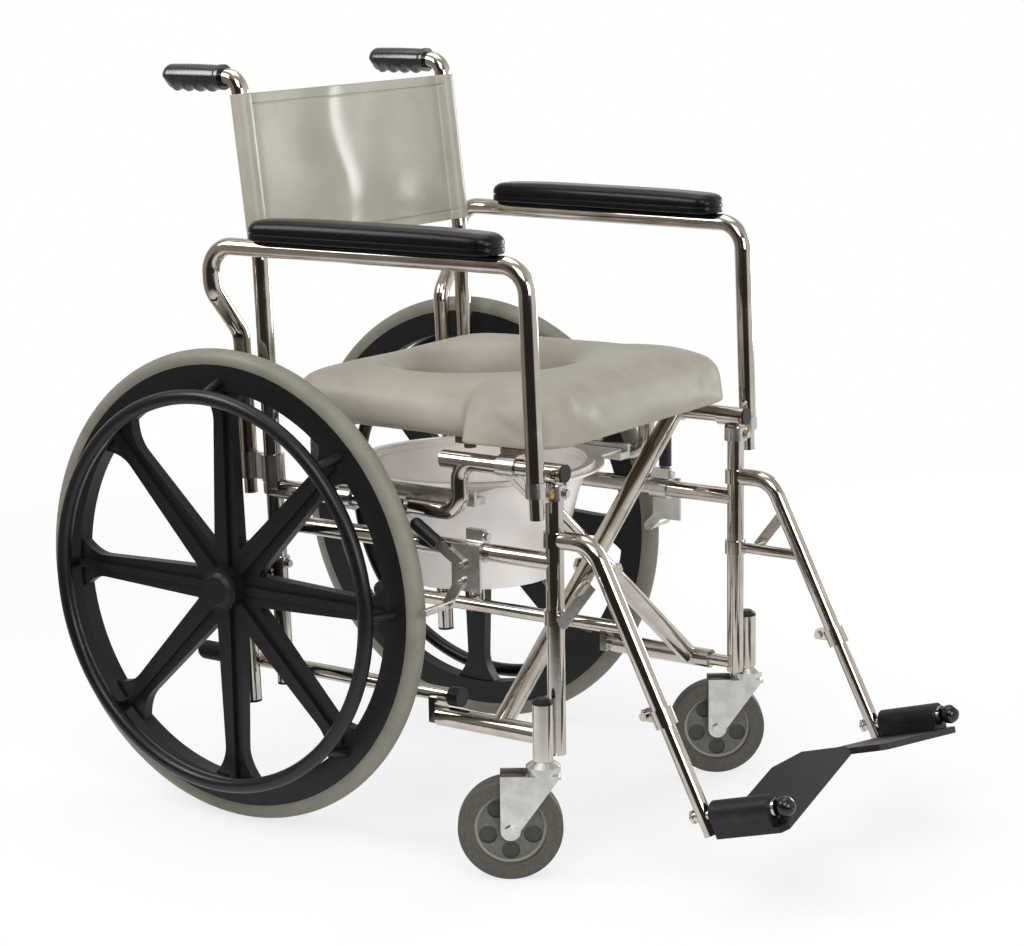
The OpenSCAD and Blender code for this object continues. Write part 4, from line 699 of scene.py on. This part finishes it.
for v, was in zip(seat.data.vertices, still):
    gone = v.co - was
    if gone.length > cap:
        v.co = was + gone * (cap / gone.length)
    v.co.z = max(v.co.z, seat_low.z + 0.0004)
modify(seat, "SMOOTH", factor=0.5, iterations=5)
modify(seat, "SUBSURF", levels=1, render_levels=1)
finished(seat, seat_vinyl, "seat", 60)
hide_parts("seat_cushion")


# PAN AND RUNNERS
# A white plastic bowl with a broad flange, faintly pink and glossy, that slides on two zinc runners
# clipped to the dropped rails.
pan_white, shader, here = new_finish("pan_white", paint(236, 226, 222), 0.2,
                                     Coat_Weight=0.3, Coat_Roughness=0.08)
cloud = here.clouds(0.06, 3.0)
fine = here.clouds(0.004, 3.0)
feed(shader,
     Base_Color=cloud.fade(0.3, 0.75).between(paint(246, 239, 235), paint(252, 247, 244)),
     Roughness=0.16 + 0.12 * cloud + 0.05 * fine,
     Normal=dents(fine, 0.00006))
dress(pan_white, "pan")

dress(zinc, "pan_runners")


# STAGE
# A pale floor that keeps the chair's shadow, soft lamps, and a white room. Metal sees the room white
# behind the chair and to the right of the camera, brown to the left and dark where the camera stands.
toward = Vector((-0.8179, -0.5754, 0))
rightward = Vector((0.5754, -0.8179, 0))


def room_shade(way):
    """What metal sees in a level direction from the chair."""
    flat = way.vector("MULTIPLY", (1, 1, 0)).vector("NORMALIZE")
    ahead, aside = flat.dot(toward), flat.dot(rightward)
    brown = (-1 * ahead).fade(0.45, 0.95).between((0.32, 0.285, 0.25, 1), (0.85, 0.84, 0.82, 1))
    front = ahead.fade(0.25, 0.60).between(brown, (0.036, 0.032, 0.029, 1))
    return aside.fade(0.62, 0.80).between(front, (0.85, 0.85, 0.85, 1))


def ray_kinds(wire):
    """1 for the camera's own rays, and 1 for rays that metal or glass sends on."""
    glossy = wire.node("LightPath", out="Is Glossy Ray")
    through = wire.node("LightPath", out="Is Transmission Ray")
    return wire.node("LightPath", out="Is Camera Ray"), glossy.most(through)


bpy.ops.mesh.primitive_plane_add(size=80, location=(0, 0, 0))
floor = bpy.context.active_object
floor.name = "floor"
pale, shader, here = new_finish("pale_floor", (0.86, 0.86, 0.86, 1), 0.9, Specular_IOR_Level=0.1)
far = here.length()
camera_ray, mirror_ray = ray_kinds(here)
near_white = far.fade(0.5, 1.5).between((1, 1, 1, 1), room_shade(here))
glow = mirror_ray.between((1, 1, 1, 1), near_white)
white = here.node("Emission", {}, {"Color": glow, "Strength": 1.0})
lit = Wire(here.tree, shader.outputs[0])
share = camera_ray * (0.72 + 0.28 * far.fade(0.9, 2.6))
share = share + mirror_ray * (0.5 + 0.5 * far.fade(0.4, 1.3))
mixed = here.node("MixShader", {}, {0: share, 1: lit, 2: white})
here.tree.links.new(mixed.socket, here.tree.nodes["Material Output"].inputs["Surface"])
floor.data.materials.append(pale)

world = bpy.data.worlds.new("room")
bpy.context.scene.world = world
world.use_nodes = True
tree = world.node_tree
way = Wire(tree, tree.nodes.new("ShaderNodeTexCoord").outputs["Generated"])
rise = way.part(2)
room = rise.fade(0.35, 0.85).between(room_shade(way), (0.55, 0.53, 0.50, 1))
camera_ray, mirror_ray = ray_kinds(way)
colour = mirror_ray.between((1, 1, 1, 1), room)
strength = camera_ray.most(mirror_ray).most(0.5)
ground = tree.nodes["Background"]
tree.links.new(colour.socket, ground.inputs["Color"])
tree.links.new(strength.socket, ground.inputs["Strength"])

lamps = (("key", (-2.6, -1.2, 2.9), 1.8, 44),
         ("front", (-1.5, -2.9, 1.4), 1.4, 38),
         ("side", (2.3, -0.45, 0.75), 0.9, 22),
         ("top", (0.3, 0.6, 3.4), 2.4, 30),
         ("rim", (-1.25, 1.2, 1.7), 0.8, 15))
lamps_face = Vector((0, 0, 0.5))
for name, place, size, watts in lamps:
    bpy.ops.object.light_add(type="AREA", location=place)
    lamp = bpy.context.active_object
    lamp.name = name
    lamp.data.size = size
    lamp.data.energy = watts
    lamp.rotation_euler = (lamps_face - Vector(place)).to_track_quat("-Z", "Y").to_euler()

camera = bpy.data.objects.new("camera", bpy.data.cameras.new("camera"))
bpy.context.scene.collection.objects.link(camera)
sensor, focal_pixels, picture_w = 36, 2654.6, 1024
camera.data.sensor_width = sensor
camera.data.lens = focal_pixels * sensor / picture_w
turn = math.radians(-0.854)
camera_at = Vector((-2.7442, -1.9408, 1.1325))
look_back = Vector((-0.80054, -0.56321, 0.20477))
level = Vector((0, 0, 1)).cross(look_back).normalized()
upright = look_back.cross(level)
right = math.cos(turn) * level + math.sin(turn) * upright
up = math.cos(turn) * upright - math.sin(turn) * level
facing = Matrix((right, up, look_back)).transposed().to_4x4()
camera.matrix_world = Matrix.Translation(camera_at) @ facing
bpy.context.scene.camera = camera
bpy.context.scene.view_settings.view_transform = "Standard"
